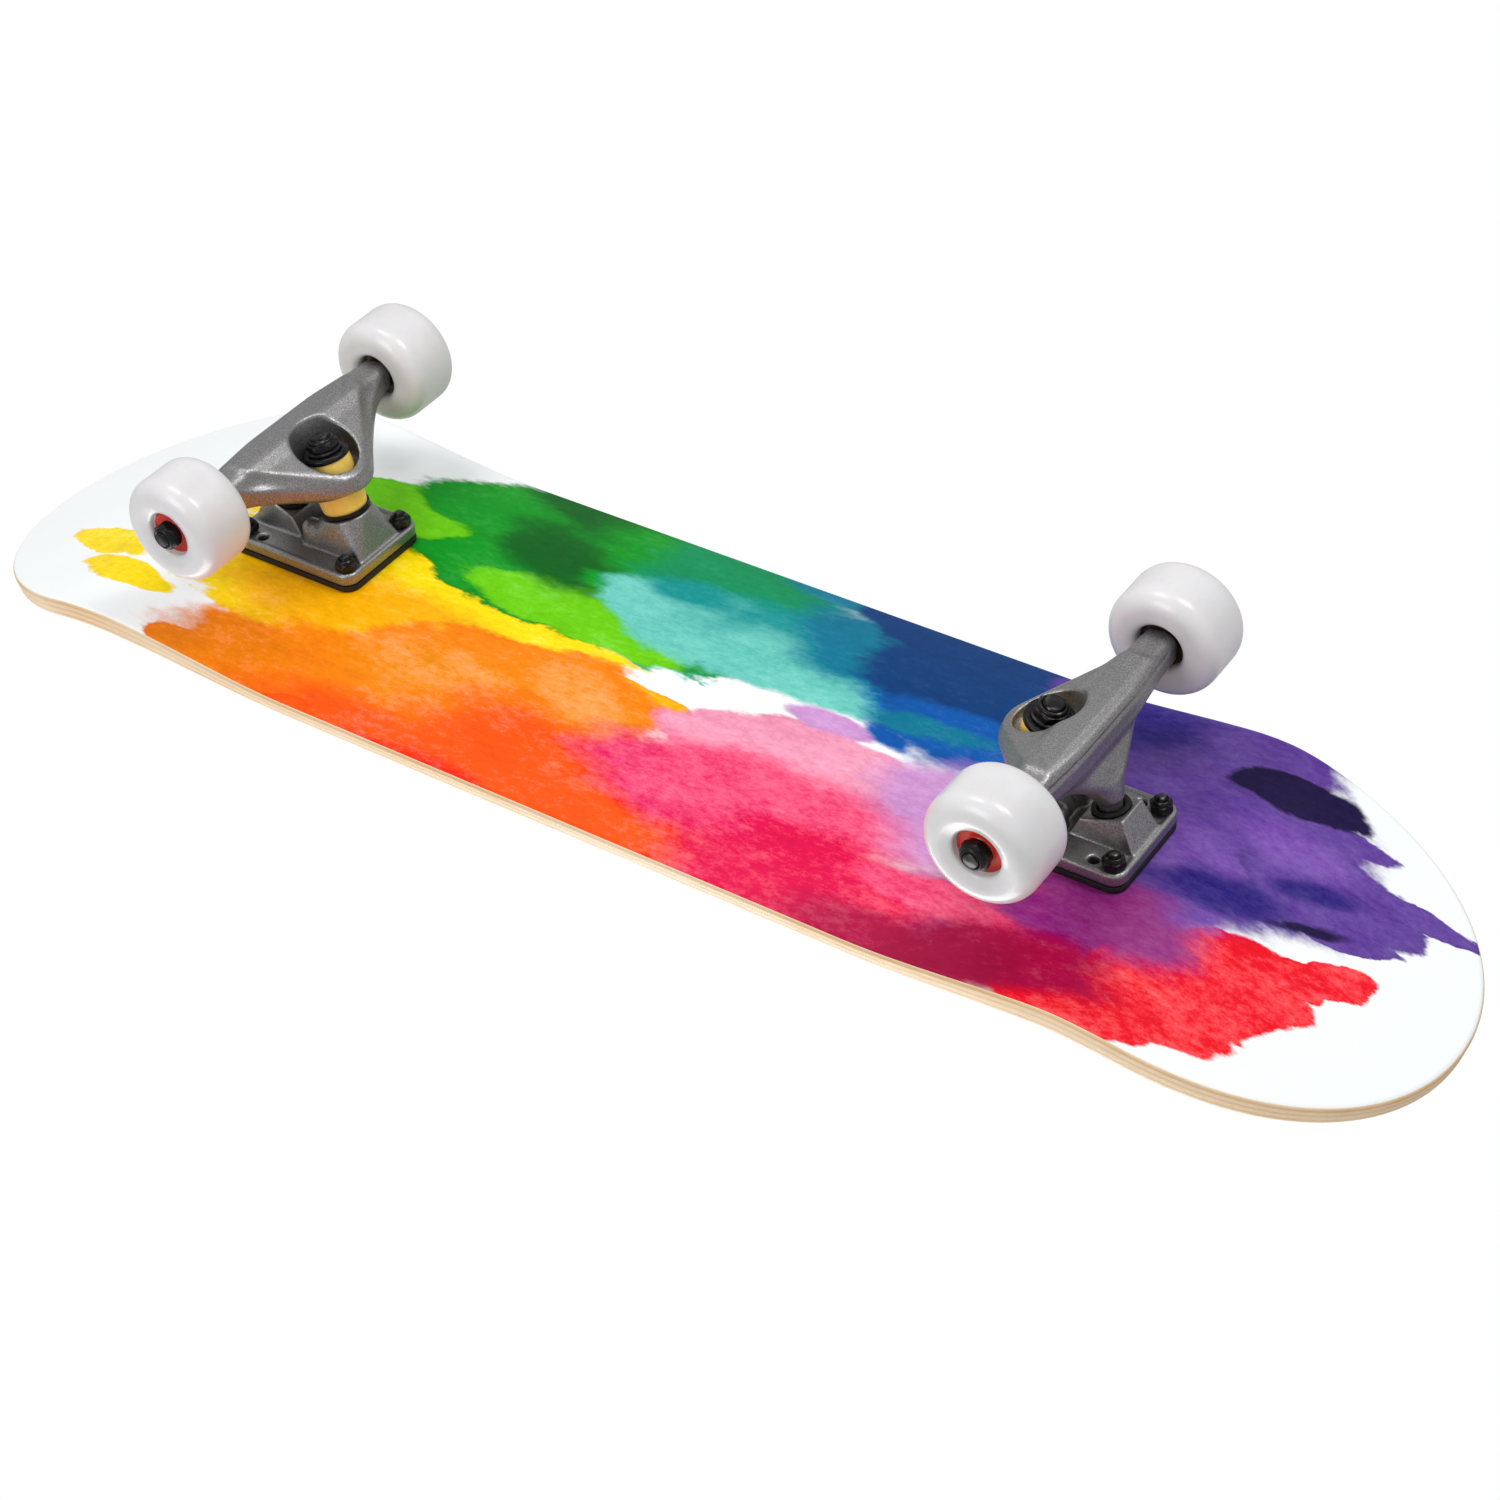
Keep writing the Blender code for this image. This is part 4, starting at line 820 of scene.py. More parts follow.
def board(name, low, high, inset, ease, under, edge, top, columns=33):
    """A closed board between two depths.  Its underside is shared lengthwise between materials."""
    share = np.sin(np.linspace(-1, 1, columns) * math.pi / 2 * 0.9) / math.sin(math.pi / 2 * 0.9)
    verts, faces, slots, depths = [], [], [], []

    def add_row(x, y, depth):
        points = deck_points(x, y, depth)
        start = len(verts)
        verts.extend(points)
        depths.extend([depth] * len(points))
        return list(range(start, start + len(points)))

    def grid(depth):
        return [add_row(x, half * share if half > 0 else np.zeros(1), depth)
                for x, half in outline(inset + ease)]

    def part_at(a, b):
        share = ((verts[a][0] + verts[b][0]) / 2 + DECK_TIP) / (2 * DECK_TIP)
        return min(max(int(share * len(under)), 0), len(under) - 1)

    def fill(rows, slot=None):
        for a, b in zip(rows, rows[1:]):
            for i in range(columns - 1):
                quad = [a[min(i, len(a) - 1)], a[min(i + 1, len(a) - 1)],
                        b[min(i + 1, len(b) - 1)], b[min(i, len(b) - 1)]]
                faces.append(tuple(dict.fromkeys(quad)))
                slots.append(part_at(a[0], b[0]) if slot is None else slot)

    def ring(turn, depth):
        line = outline(inset + ease * (1 - math.sin(turn)))
        loop = np.concatenate((line, line[-2:0:-1] * (1, -1)))
        return add_row(loop[:, 0], loop[:, 1], depth)

    def rim(rows):
        return [row[-1] for row in rows] + [row[0] for row in rows[-2:0:-1]]

    bottom, upper = grid(low), grid(high)
    fill(bottom)
    fill(upper, len(under) + 1)
    steps = 5 if ease > 0.5 else 2
    turns = [math.pi / 2 * k / steps for k in range(1, steps + 1)]
    loops = [rim(bottom)] + [ring(turn, low + ease * (1 - math.cos(turn))) for turn in turns]
    loops += [ring(turn, high - ease * (1 - math.cos(turn))) for turn in turns[::-1]] + [rim(upper)]
    for k, (a, b) in enumerate(zip(loops, loops[1:])):
        for i in range(len(a)):
            j = (i + 1) % len(a)
            faces.append((a[i], a[j], b[j], b[i]))
            slots.append(part_at(a[i], a[j]) if k < 2 else len(under))
    obj = add_mesh(name, verts, faces, under[0], sharp=50)
    for mat in [*under[1:], edge, top]:
        obj.data.materials.append(mat)
    obj.data.polygons.foreach_set("material_index", slots)
    ply = obj.data.attributes.new("ply", "FLOAT", "POINT")
    ply.data.foreach_set("value", (np.array(depths) - low) / (high - low))
    face_outwards(obj)
    return obj


def bolt_places():
    for truck, turn in (("front", 1), ("rear", -1)):
        for end, u in (("outer", BOLT_U), ("inner", -BOLT_U)):
            for side, y in (("left", BOLT_V), ("right", -BOLT_V)):
                yield f"{truck}_{end}_{side}", TRUCK_X[truck] / MM + turn * u, y


def bolt_cutters(low, high, radius):
    return [spun("hole_" + name, [(radius, low), (radius, high)], 24, MATS["black"],
                 moved(x, y)) for name, x, y in bolt_places()]


DECK_TOP_Z = UNDERSIDE_Z + GRIP_LOW + GRIP_THICK
deck = board("maple_deck", 0.0, DECK_THICK, 0.0, EDGE_ROUND,
             [graphic_paint(i) for i in range(GRAPHIC_PARTS)], MATS["edge"], MATS["veneer"])
subtract(deck, bolt_cutters(UNDERSIDE_Z - 5, DECK_TOP_Z + 5, BOLT_RADIUS + 0.2))
add_piece(deck, "root", "wood", "deck")

grip = board("grip_sheet", GRIP_LOW, GRIP_LOW + GRIP_THICK, EDGE_ROUND + 1.0, 0.2, [MATS["grip"]],
             MATS["grip"], MATS["grip"])
subtract(grip, bolt_cutters(DECK_TOP_Z - 5, DECK_TOP_Z + 5, GRIP_HOLE_RADIUS))
add_piece(grip, "root", "grip", "grip_tape")


# ---- fasteners ----
def join(target, others):
    """Make one object of several closed shapes."""
    bpy.ops.object.select_all(action="DESELECT")
    for obj in [target] + others:
        obj.select_set(True)
    bpy.context.view_layer.objects.active = target
    bpy.ops.object.join()
    return target


def hex_nut(name, low, high, flats, collar, bore, mat, place, flange=None):
    """A chamfered hexagon with a round nylon collar at its free end."""
    corner = flats / 2 / math.cos(math.pi / 6)
    half = flats / 2
    top = high - collar
    rows = [(bore, low)]
    if flange:
        rows += [(flange - 0.3, low), (flange, low + 0.25), (flange, low + 1.1), (flange - 0.5, low + 1.4)]
        low = low + 1.4
    else:
        rows += [(half - 0.3, low)]
    ease = corner - half
    rows += [(corner - ease * (1 - s) ** 2, low + 0.15 + 0.75 * ease * s, half)
             for s in (0.0, 0.3, 0.6, 1.0)]
    rows += [(corner, top - 0.8 * ease, half)]
    rows += [(corner - ease * s ** 2, top - 0.8 * ease * (1 - s), half) for s in (0.3, 0.6, 1.0)]
    rim = half - 0.7
    rows += [(rim + 0.25, top + 0.05), (rim, top + 0.35), (rim, high - 0.9), (rim - 0.3, high - 0.35),
             (rim - 0.9, high), (bore + 0.5, high), (bore, high - 0.4)]
    return spun(name, rows, 48, mat, place, closed=True, sharp=38)


FLIP = Matrix.Rotation(math.pi, 4, "X")
NUT_SEAT_Z = PLATE_FACE_Z - GAP
DECK_NUT_THICK, DECK_NUT_FLATS = 5.6, 9.5
NUT_COLLAR = 2.0                  # height of a larger nut's nylon collar
BOLT_PAST_NUT = 1.4


def deck_bolt(name):
    """A countersunk bolt with a cross recess; its thread shows beyond the lock nut."""
    end = NUT_SEAT_Z - DECK_NUT_THICK - BOLT_PAST_NUT
    head = spun(name, [(BOLT_RADIUS, end + 12), (BOLT_RADIUS, DECK_TOP_Z - 3.0),
                       (4.5, DECK_TOP_Z - 0.45), (4.6, DECK_TOP_Z - 0.25), (4.45, DECK_TOP_Z - 0.06),
                       (4.2, DECK_TOP_Z)], 40, MATS["black"], sharp=40)
    slots = []
    for turn in (0.0, math.pi / 2):
        tip, wide = DECK_TOP_Z - 1.9, 0.55
        verts = [(x * reach, y, z) for z, reach in ((tip, 1.1), (DECK_TOP_Z + 0.5, 2.6))
                 for x, y in ((-1, -wide), (1, -wide), (1, wide), (-1, wide))]
        faces = [(3, 2, 1, 0), (4, 5, 6, 7), (0, 1, 5, 4), (1, 2, 6, 5), (2, 3, 7, 6), (3, 0, 4, 7)]
        slots.append(add_mesh("slot", verts, faces, MATS["black"], Matrix.Rotation(turn, 4, "Z")))
    bpy.context.view_layer.update()
    subtract(head, slots)
    head.data.set_sharp_from_angle(angle=math.radians(40))
    shank = threaded(name + "_thread", BOLT_RADIUS, 0.0, 12.01, 0.8, 2.0, MATS["black"],
                     moved(0, 0, end + 12.01) @ FLIP)
    return join(head, [shank])


def make_deck_fasteners():
    pattern = deck_bolt("bolt_pattern")
    for index, (name, x, y) in enumerate(bolt_places()):
        place = moved(x, y) @ Matrix.Rotation(0.4 + 1.3 * index, 4, "Z")
        add_piece(show("deck_bolt_" + name, pattern.data, place), "root", "black_steel", "bolt_" + name)
        place = moved(x, y, NUT_SEAT_Z) @ Matrix.Rotation(0.9 * index, 4, "Z") @ FLIP
        nut = hex_nut("lock_nut_" + name, 0.0, DECK_NUT_THICK, DECK_NUT_FLATS, 1.9, BOLT_RADIUS + 0.05,
                      MATS["black"], place)
        add_piece(nut, "root", "black_steel", "nut_" + name)
    bpy.data.objects.remove(pattern)


make_deck_fasteners()


# ---- trucks ----
def to_seat(height):
    return aim(SEAT + KINGPIN_DIR * height, KINGPIN_DIR)


def pin_frame(p):
    """Distances outboard of the kingpin, across it, and along it from its seat."""
    w = p - SEAT.astype(np.float32)
    return w @ ACROSS_PIN.astype(np.float32), w[:, 1], w @ KINGPIN_DIR.astype(np.float32)


def disc(radius, height, origin=SEAT, direction=KINGPIN_DIR, sides=32):
    """Points round a circle that is square to a line."""
    z = np.array(direction) / np.linalg.norm(direction)
    x = np.cross((0.0, 1.0, 0.0), z)
    middle = np.array(origin) + z * height
    turns = np.arange(sides) / sides * math.tau
    return [tuple(middle + radius * (math.cos(a) * x + math.sin(a) * np.array((0.0, 1.0, 0.0))))
            for a in turns]


def bar(half_v, low_u, high_u, low_z, high_z):
    return [(AXLE_U + u, v, AXLE_Z + z) for u in (low_u, high_u) for v in (-half_v, half_v)
            for z in (low_z, high_z)]


def hanger_field(p):
    """The hanger: axle beam, wings, kingpin ring in its bowl, rib and pivot."""
    v = np.abs(p[:, 1])
    share = np.clip((v - 18) / 40, 0, 1)
    share = share * share * (3 - 2 * share)
    half_u, half_z, shift = 8.8 - 1.0 * share, 8.4 - 0.6 * share, 1.4 - 1.4 * share
    q = np.stack((np.abs(p[:, 0] - AXLE_U - shift) - half_u, np.abs(p[:, 2] - AXLE_Z) - half_z), 1)
    ease = 3.0 + 1.8 * share
    q = q + ease[:, None]
    beam = np.linalg.norm(np.maximum(q, 0), axis=1) + np.minimum(q.max(1), 0) - ease
    beam = np.maximum(beam, v - HANGER_HALF)

    ring = disc(RING_RADIUS, RING_FROM) + disc(RING_RADIUS, RING_TO)
    wing = field_hull(p, ring + bar(40, -6.5, 2, -7.0, 7.5))
    tips = field_hull(p, disc(16, RING_FROM + 1) + bar(54, -6.0, 2, -3.0, 7.0))
    shape = blend_in(blend_in(wing, tips, 7.0), beam, 6.0)

    rib_foot = disc(6.6, -9.5, PIVOT_MOUTH, CUP_DIR) + disc(6.2, -5.5, PIVOT_MOUTH, CUP_DIR)
    rib = field_hull(p, rib_foot + bar(26, 0.0, 5.5, 3.5, 7.0))
    rib_tips = field_hull(p, disc(3.5, -14, PIVOT_MOUTH, CUP_DIR) + bar(42, 1.0, 5.0, 3.5, 6.5))
    stem = field_rod(p, PIVOT_MOUTH, CUP_DIR, -16.0, 4.4, 6.9, 4.6)
    shape = blend_in(shape, blend_in(rib, rib_tips, 6.0), 4.0)
    shape = blend_in(shape, stem, 2.5)

    x, y, k = pin_frame(p)
    seat = RING_TO - 1.0
    reach = np.where(x > 0, 12.2, 14.6)
    bowl = (np.sqrt((x / reach) ** 2 + (y / 15.6) ** 2) - 1) * 13.5
    bowl = meet(bowl, seat - k, 3.0)
    shape = carve(shape, bowl, 1.0)
    pocket = np.maximum(np.hypot(x, y) - 12.2, k - (RING_FROM + 0.3))
    shape = carve(shape, pocket, 0.5)
    shape = carve(shape, np.hypot(x, y) - 8.5, 0.5)
    bore = np.hypot(p[:, 0] - AXLE_U, p[:, 2] - AXLE_Z) - (AXLE_RADIUS + 0.2)
    shape = np.maximum(shape, -bore)
    groove = np.hypot(p[:, 0] - (AXLE_U + shift + half_u + 0.3), p[:, 2] - (AXLE_Z - half_z + 4.6))
    groove = np.maximum(groove - 1.3, v - 55)
    return carve(shape, groove, 0.4)


def baseplate_field(p):
    """The baseplate: rounded plate with a lip, kingpin block, pivot block and pillars."""
    q = np.abs(p[:, :2]) - (np.array((PLATE_LENGTH / 2, PLATE_WIDTH / 2)) - PLATE_CORNER)
    plan = np.linalg.norm(np.maximum(q, 0), axis=1) + np.minimum(q.max(1), 0) - PLATE_CORNER
    middle_z = (PLATE_TOP_Z + PLATE_FACE_Z) / 2
    upright = np.abs(p[:, 2] - middle_z) - PLATE_THICK / 2
    plate = meet(plan, upright, 1.2)
    inner = np.maximum(plan + 3.0, p[:, 2] - (PLATE_FACE_Z + 0.7))
    plate = carve(plate, inner, 0.8)

    root = PLATE_FACE_Z + 1.2
    foot = [(u, v, root) for u in (-36.0, 1.0) for v in (-15.0, 15.0)]
    block = field_hull(p, disc(SEAT_RADIUS, 0.0) + foot)
    outboard = np.array((math.cos(CUP_TILT), 0.0, -math.sin(CUP_TILT)))
    top = [tuple(PIVOT_MOUTH + outboard * reach + np.array((0.0, v, 0.0)))
           for reach, half_v in ((10.3, 8.6), (-9.6, 11.0)) for v in (-half_v, half_v)]
    foot = [(u, v, root) for u in (4.6, 36.4) for v in (-11.6, 11.6)]
    pivot = field_hull(p, top + foot)
    shape = blend_in(plate, block, 0.9)
    shape = blend_in(shape, pivot, 0.9)
    for v in (-9.6, 9.6):
        w = p - np.array((-2.0, v, 0.0), np.float32)
        far = np.sqrt(w[:, 0] ** 2 + w[:, 1] ** 2 + (np.minimum(w[:, 2] - (root - 7.8), 0)) ** 2) - 5.2
        shape = blend_in(shape, np.maximum(far, w[:, 2] - PLATE_TOP_Z), 1.4)

    x, y, k = pin_frame(p)
    shape = carve(shape, np.hypot(x, y) - (KINGPIN_RADIUS + 0.2), 0.4)
    head = np.maximum(np.hypot(x, y) - 9.2, k - (HEAD_TO + GAP))
    shape = np.maximum(shape, -head)
    shape = carve(shape, field_rod(p, PIVOT_MOUTH, CUP_DIR, -20.0, 6.6, 8.2), 0.4)
    for u in (-BOLT_U, BOLT_U, SPARE_HOLE_U):
        for v in (-BOLT_V, BOLT_V):
            hole = np.hypot(p[:, 0] - u, p[:, 1] - v) - (BOLT_RADIUS + 0.25)
            shape = carve(shape, hole, 0.4)
    return np.maximum(shape, p[:, 2] - PLATE_TOP_Z)


def make_castings():
    cast = MATS["cast"]
    hanger = cast_shape("hanger_pattern", hanger_field, (-36, -64, 16), (28, 64, 75), 0.8, cast)
    plate = cast_shape("baseplate_pattern", baseplate_field, (-40, -29, 54), (40, 29, 86), 0.7, cast)
    for truck in ("front", "rear"):
        for pattern, part, body in ((hanger, "hanger", truck + "_hanger"), (plate, "baseplate", "root")):
            piece = show(f"{truck}_cast_{part}", pattern.data, truck_place(truck))
            add_piece(piece, body, "cast_metal", f"{truck}_{part}")
    for pattern in (hanger, plate):
        bpy.data.objects.remove(pattern)


make_castings()


def make_riser(truck):
    """The rubber pad under the baseplate, with its edges eased."""
    bm = bmesh.new()
    plan = rounded_rectangle(PLATE_LENGTH, PLATE_WIDTH, PLATE_CORNER)
    low, high = PLATE_LOW.z, PLATE_HIGH.z
    face = bm.faces.new([bm.verts.new((x * MM, y * MM, low * MM)) for x, y in plan])
    grown = bmesh.ops.extrude_face_region(bm, geom=[face])
    top = [v for v in grown["geom"] if isinstance(v, bmesh.types.BMVert)]
    bmesh.ops.translate(bm, verts=top, vec=(0, 0, (high - low) * MM))
    rims = [e for e in bm.edges if abs(e.verts[0].co.z - e.verts[1].co.z) < 1e-6]
    bmesh.ops.bevel(bm, geom=rims, offset=0.4 * MM, segments=2, affect="EDGES", profile=0.5)
    riser = from_bmesh(truck + "_riser", bm, MATS["rubber"])
    riser.data.shade_smooth()
    riser.data.set_sharp_from_angle(angle=math.radians(40))
    face_outwards(riser)
    holes = [spun("hole", [(2.6, low - 2), (2.6, high + 2)], 20, MATS["rubber"], moved(u, v))
             for u in (-BOLT_U, BOLT_U) for v in (-BOLT_V, BOLT_V)]
    bpy.context.view_layer.update()
    subtract(riser, holes)
    riser.matrix_world = truck_place(truck)
    add_piece(riser, "root", "rubber", truck + "_riser_pad")


def make_pin(truck):
    """The kingpin: head in the baseplate, shank through the bushings, thread in the nut."""
    place = truck_place(truck) @ to_seat(0.0)
    pin = threaded(truck + "_kingpin_bolt", KINGPIN_RADIUS, HEAD_FROM + 3, KINGPIN_TIP, 1.25, 26.0,
                   MATS["black"], place, 36)
    wide = KINGPIN_HEAD_RADIUS
    rows = fillet([(0.5, HEAD_FROM), (wide, HEAD_FROM), (wide, HEAD_TO), (4.6, HEAD_TO)], 0.6)
    head = spun(truck + "_pin_head", rows, 40, MATS["black"], place, sharp=40)
    bpy.context.view_layer.update()
    add_piece(join(pin, [head]), "root", "black_steel", truck + "_kingpin")
    nut = hex_nut(truck + "_kingpin_lock_nut", KINGPIN_NUT_FROM, KINGPIN_NUT_TO, KINGPIN_NUT_FLATS,
                  NUT_COLLAR, KINGPIN_RADIUS + 0.1, MATS["black"], place @ Matrix.Rotation(0.2, 4, "Z"),
                  KINGPIN_NUT_FLANGE)
    add_piece(nut, "root", "black_steel", truck + "_kingpin_nut")


def make_cushions(truck):
    """Cup washers and bushings on the kingpin."""
    base = truck_place(truck)
    place = base @ to_seat(0.0)
    bore = KINGPIN_RADIUS + 0.2
    for end, low, opens, wide in (("boardside", 0.3, 1, 12.2), ("roadside", 31.9, -1, 11.5)):
        flat, back = (low + CUP_THICK, low) if opens > 0 else (low, low + CUP_THICK)
        lip = flat + opens * CUP_LIP
        rows = [(bore, back), (wide - 1.0, back), (wide, back + opens * 0.9), (wide, lip),
                (wide - 0.55, lip), (wide - 0.8, flat + opens * 0.2), (wide - 1.4, flat), (bore, flat)]
        washer = spun(f"{truck}_cup_washer_{end}", fillet(rows, 0.35, 2, closed=True), 64, MATS["black"],
                      place, True, 60)
        add_piece(washer, "root", "black_steel", f"{truck}_washer_{end}")
    for end, low, high, radius_low, radius_high, root_end, ring_end in BUSHINGS:
        rows = [(bore, low), (radius_low - 0.7, low), (radius_low - 0.2, low + 0.2)]
        for t in np.linspace(0.0, 1.0, 9):
            belly = 0.25 * math.sin(math.pi * t)
            rows.append((radius_low + (radius_high - radius_low) * t + belly,
                         low + 0.7 + (high - low - 1.4) * t))
        rows += [(radius_high - 0.2, high - 0.2), (radius_high - 0.7, high), (bore, high)]
        rows += [(bore, high + (low - high) * s / 4) for s in (1, 2, 3)]
        bushing = spun(f"{truck}_cushion_{end}", rows, 64, MATS["bushing"], place, True, 60)
        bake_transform(bushing)
        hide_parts(f"{truck}_bushing_{end}")


def make_pivot_cup(truck):
    rows = [(0.3, -6.4), (8.0, -6.4), (8.0, 0.2), (8.6, 0.5), (8.6, 1.5), (6.6, 1.6), (5.8, 0.7),
            (5.8, -5.0), (3.4, -5.5), (0.3, -5.5)]
    cup = spun(truck + "_cup", fillet(rows, 0.3, 2), 48, MATS["rubber"],
               truck_place(truck) @ aim(PIVOT_MOUTH, -CUP_DIR), sharp=50)
    add_piece(cup, "root", "rubber", truck + "_pivot_cup")


# ---- axles, wheels and bearings ----
AXLE_HALF = 95.3
WHEEL_RADIUS = 27.0
WHEEL_HALF = 17.0
TREAD_HALF = 8.2
LIP_RADIUS = 18.2
BEARING_FACE = 12.0
BEARING_WIDTH = 7.0
AXLE_NUT_FROM = 88.9
AXLE_NUT_THICK, AXLE_NUT_FLATS = 6.0, 12.7
SPACER_HALF = 4.7
SPEED_WASHER_THICK = 0.9


def across(v=0.0, outward=1):
    return aim((AXLE_U, v, AXLE_Z), (0, outward, 0))


def make_axle(truck):
    place = truck_place(truck)
    rods = [threaded(f"{truck}_axle_{side}", AXLE_RADIUS, 0.0, AXLE_HALF, 1.0, 84.0, MATS["black"],
                     place @ across(0.0, side), 32) for side in (-1, 1)]
    bpy.context.view_layer.update()
    axle = join(rods[0], [rods[1]])
    axle.name = truck + "_axle_rod"
    weld_middle(axle)
    add_piece(axle, truck + "_hanger", "black_steel", truck + "_axle")


def weld_middle(obj):
    """Make one closed rod of two that meet end to end."""
    bm = bmesh.new()
    bm.from_mesh(obj.data)
    caps = [f for f in bm.faces if len(f.verts) > 8 and abs(f.calc_center_median().z) < 0.01 * MM]
    bmesh.ops.delete(bm, geom=caps, context="FACES_ONLY")
    bmesh.ops.remove_doubles(bm, verts=bm.verts, dist=0.02 * MM)
    bm.to_mesh(obj.data)
    bm.free()


def wheel_rows():
    """The wheel's closed profile: rounded shoulders, a dished outer face and bearing seats."""
    power = 2 / 2.05
    outside = []
    for i in range(15):
        angle = math.pi / 2 * i / 14
        outside.append((LIP_RADIUS + (WHEEL_RADIUS - LIP_RADIUS) * max(math.cos(angle), 0) ** power,
                        TREAD_HALF + (WHEEL_HALF - TREAD_HALF) * math.sin(angle) ** power))
    dish = [(17.2, WHEEL_HALF - 0.05), (16.2, 16.8), (14.9, 16.3), (13.4, 15.7), (12.5, 15.3),
            (11.9, 14.9), (11.45, 14.3), (11.25, 13.4), (11.2, 12.3), (11.0, 12.1)]
    core = [(11.0, 4.8), (9.2, 4.8)]
    closed = [(16.0, 16.95), (13.8, 16.8), (12.6, 16.2), (11.6, 15.2), (11.2, 14.0), (11.0, 12.2)]
    tread = [(WHEEL_RADIUS, t) for t in (2.7, 5.4)] + outside
    outer, inner = tread + dish + core, tread + closed + core
    return [(WHEEL_RADIUS, 0.0)] + outer + [(r, -h) for r, h in inner[::-1]]


def bearing_rows(face):
    """Outer race, recessed shield and inner race, as three closed rings about a middle plane."""
    halves = (((10.9, 0.3), (10.84, 0.1), (10.76, 0.0), (10.68, 0.1)),
              ((10.64, 0.25), (10.4, 0.08), (9.9, 0.12), (9.6, 0.4), (6.6, 0.4), (6.3, 0.1), (5.95, 0.25)),
              ((4.0, 0.3), (4.3, 0.0), (5.7, 0.0), (5.9, 0.2)))
    return [[(r, face - drop) for r, drop in half] + [(r, drop - face) for r, drop in half[::-1]]
            for half in halves]


def make_wheel(truck, side, sign):
    body = f"{truck}_{side}_wheel"
    place = truck_place(truck) @ across(sign * WHEEL_V, sign)
    wheel = spun(f"{truck}_{side}_tyre", wheel_rows(), 128, MATS["urethane"], place, True, 60)
    add_piece(wheel, body, "urethane", body)
    offset = BEARING_FACE - BEARING_WIDTH / 2
    for which, shift in (("outer", offset), ("inner", -offset)):
        middle = truck_place(truck) @ across(sign * (WHEEL_V + shift), sign)
        # the inner side's dark cage is partly painted shade for the shadowed gap round the hanger's end
        mats = ("steel", "shield" if which == "outer" else "cage", "steel")
        parts = zip(("race", "shield", "hub"), bearing_rows(BEARING_WIDTH / 2), mats)
        rings = [spun(f"{truck}_{side}_{which}_{label}", rows, 64, MATS[mat], middle, True, 35)
                 for label, rows, mat in parts]
        for ring in rings:
            add_piece(ring, body, "bearing")
        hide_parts(f"{truck}_{side}_{which}_bearing")
    hanger = truck + "_hanger"
    line = truck_place(truck) @ across(0.0, sign)
    low, high = WHEEL_V - SPACER_HALF, WHEEL_V + SPACER_HALF
    tube = [(4.1, low), (5.3, low), (5.3, high), (4.1, high)]
    spacer = spun(f"{truck}_{side}_spacer", fillet(tube, 0.3, 2, closed=True), 32, MATS["steel"], line,
                  True, 40)
    add_piece(spacer, hanger, "steel", f"{truck}_{side}_bearing_spacer")
    for label, low in (("inner", HANGER_HALF + 0.1), ("outer", WHEEL_V + BEARING_FACE + 0.1)):
        high = low + SPEED_WASHER_THICK
        rows = [(4.0, low), (6.2, low), (6.2, high), (4.0, high)]
        ring = spun(f"{truck}_{side}_{label}_speed_washer", fillet(rows, 0.2, 2, closed=True), 40,
                    MATS["black"], line, True, 40)
        add_piece(ring, hanger, "black_steel")
    nut = hex_nut(f"{truck}_{side}_lock_nut", AXLE_NUT_FROM, AXLE_NUT_FROM + AXLE_NUT_THICK, AXLE_NUT_FLATS,
                  NUT_COLLAR, AXLE_RADIUS + 0.1, MATS["black"], line @ Matrix.Rotation(0.35 * sign, 4, "Z"))
    add_piece(nut, hanger, "black_steel", f"{truck}_{side}_axle_nut")


for truck, sides in (("front", (("left", 1), ("right", -1))), ("rear", (("left", -1), ("right", 1)))):
    make_riser(truck)
    make_pin(truck)
    make_cushions(truck)
    make_pivot_cup(truck)
    make_axle(truck)
    for side, sign in sides:
        make_wheel(truck, side, sign)


# ---- studio ----
EYE = Vector((-0.6894, -0.8337, -0.7772))
FORWARD = Vector((0.46513, 0.60425, 0.64694))
UP = Vector((0.32, 0.56, -0.77))
LENS = 71.62


FADE_FROM, FADE_TO = 450, 1700    # distances from the middle, in millimetres, where the floor fades out
FLOOR_HALF = 4.0                  # metres, as below
FLOOR_Z = -0.0005
BOARD_MIDDLE = Vector((0, 0, 0.07))
LIGHT_SCALE = 1.4


def make_camera():
    """The camera is below the board, which it sees upside down."""
    data = bpy.data.cameras.new("camera")
    data.lens = LENS
    data.sensor_width = 36.0
    data.clip_start = 0.01
    z = -FORWARD.normalized()
    x = UP.cross(z).normalized()
    turn = Matrix((x, z.cross(x), z)).transposed().to_4x4()
    bpy.context.scene.camera = show("camera", data, Matrix.Translation(EYE) @ turn)


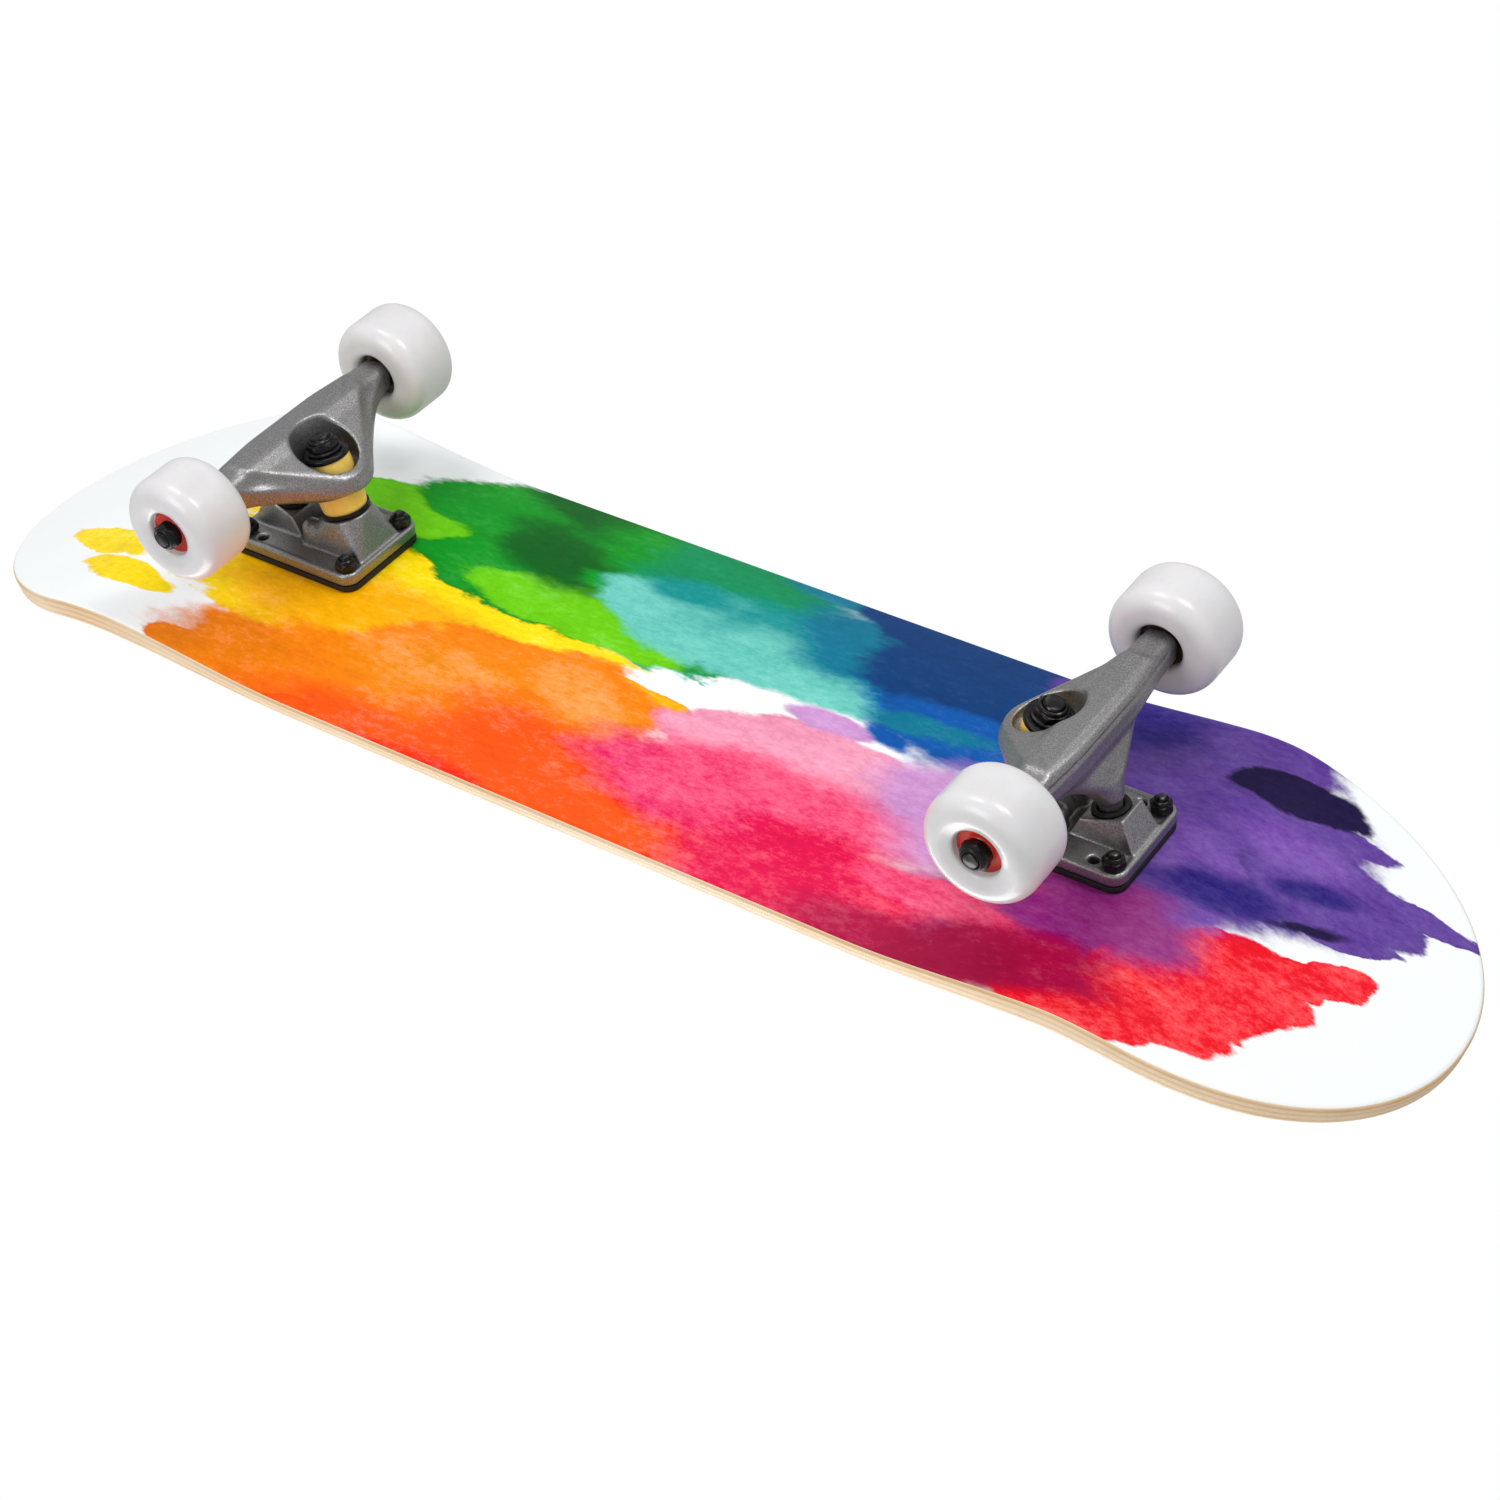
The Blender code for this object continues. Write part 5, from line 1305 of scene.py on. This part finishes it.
def make_floor():
    """A pale floor that fades out into the white ground, and is seen only from above."""
    bm = bmesh.new()
    bmesh.ops.create_grid(bm, x_segments=1, y_segments=1, size=FLOOR_HALF)
    net = Net("floor_paper", Base_Color=(*linear(236, 236, 236), 1.0), Roughness=0.8)
    back = net.add("NewGeometry", {}, "Backfacing")
    fade = net.span(net.vector("LENGTH", net.place(), output=1), FADE_FROM, FADE_TO, smooth=True)
    both = net.add("MixShader", {0: net.math("MAXIMUM", back, fade), 1: net.shader.outputs[0],
                                 2: net.add("BsdfTransparent", {})})
    net.put(net.tree.nodes["Material Output"].inputs["Surface"], both)
    floor = from_bmesh("floor", bm, net.mat)
    floor.location.z = FLOOR_Z
    for ray in ("diffuse", "glossy", "transmission", "shadow", "volume_scatter"):
        setattr(floor, "visible_" + ray, False)


def add_light(name, place, size, power):
    """A soft light aimed at the board."""
    data = bpy.data.lights.new(name, "AREA")
    data.shape, data.size, data.size_y = "RECTANGLE", size[0], size[1]
    data.energy = power
    light = show(name, data)
    light.location = place
    light.rotation_euler = (BOARD_MIDDLE - Vector(place)).to_track_quat("-Z", "Y").to_euler()


def make_studio():
    world = bpy.data.worlds.new("studio")
    bpy.context.scene.world = world
    world.use_nodes = True
    net = Nodes(world.node_tree)
    base = net.tree.nodes["Background"]
    net.put(base.inputs["Color"], (1.0, 1.0, 1.0, 1.0))
    net.put(base.inputs["Strength"], 0.55)
    white = net.add("Background", {"Color": (1.0, 1.0, 1.0, 1.0), "Strength": 1.0})
    seen = net.add("LightPath", {}, "Is Camera Ray")
    both = net.add("MixShader", {0: seen, 1: base.outputs[0], 2: white})
    net.put(net.tree.nodes["World Output"].inputs["Surface"], both)
    right = UP.cross(-FORWARD).normalized()
    for name, up, back, side, size, power in (("key", 0.8, 0.7, 0.45, (0.45, 0.6), 8.5),
                                              ("second", 0.9, 0.5, -0.35, (0.45, 0.6), 5),
                                              ("fill", 0.0, 1.0, -0.9, (0.9, 0.9), 10)):
        place = BOARD_MIDDLE + (UP * up - FORWARD * back + right * side) * LIGHT_SCALE
        add_light(name, place, size, power)
    add_light("top", (0.3, -0.4, 1.5), (1.4, 1.0), 18)
    bpy.context.scene.view_settings.view_transform = "Standard"


make_camera()
make_floor()
make_studio()
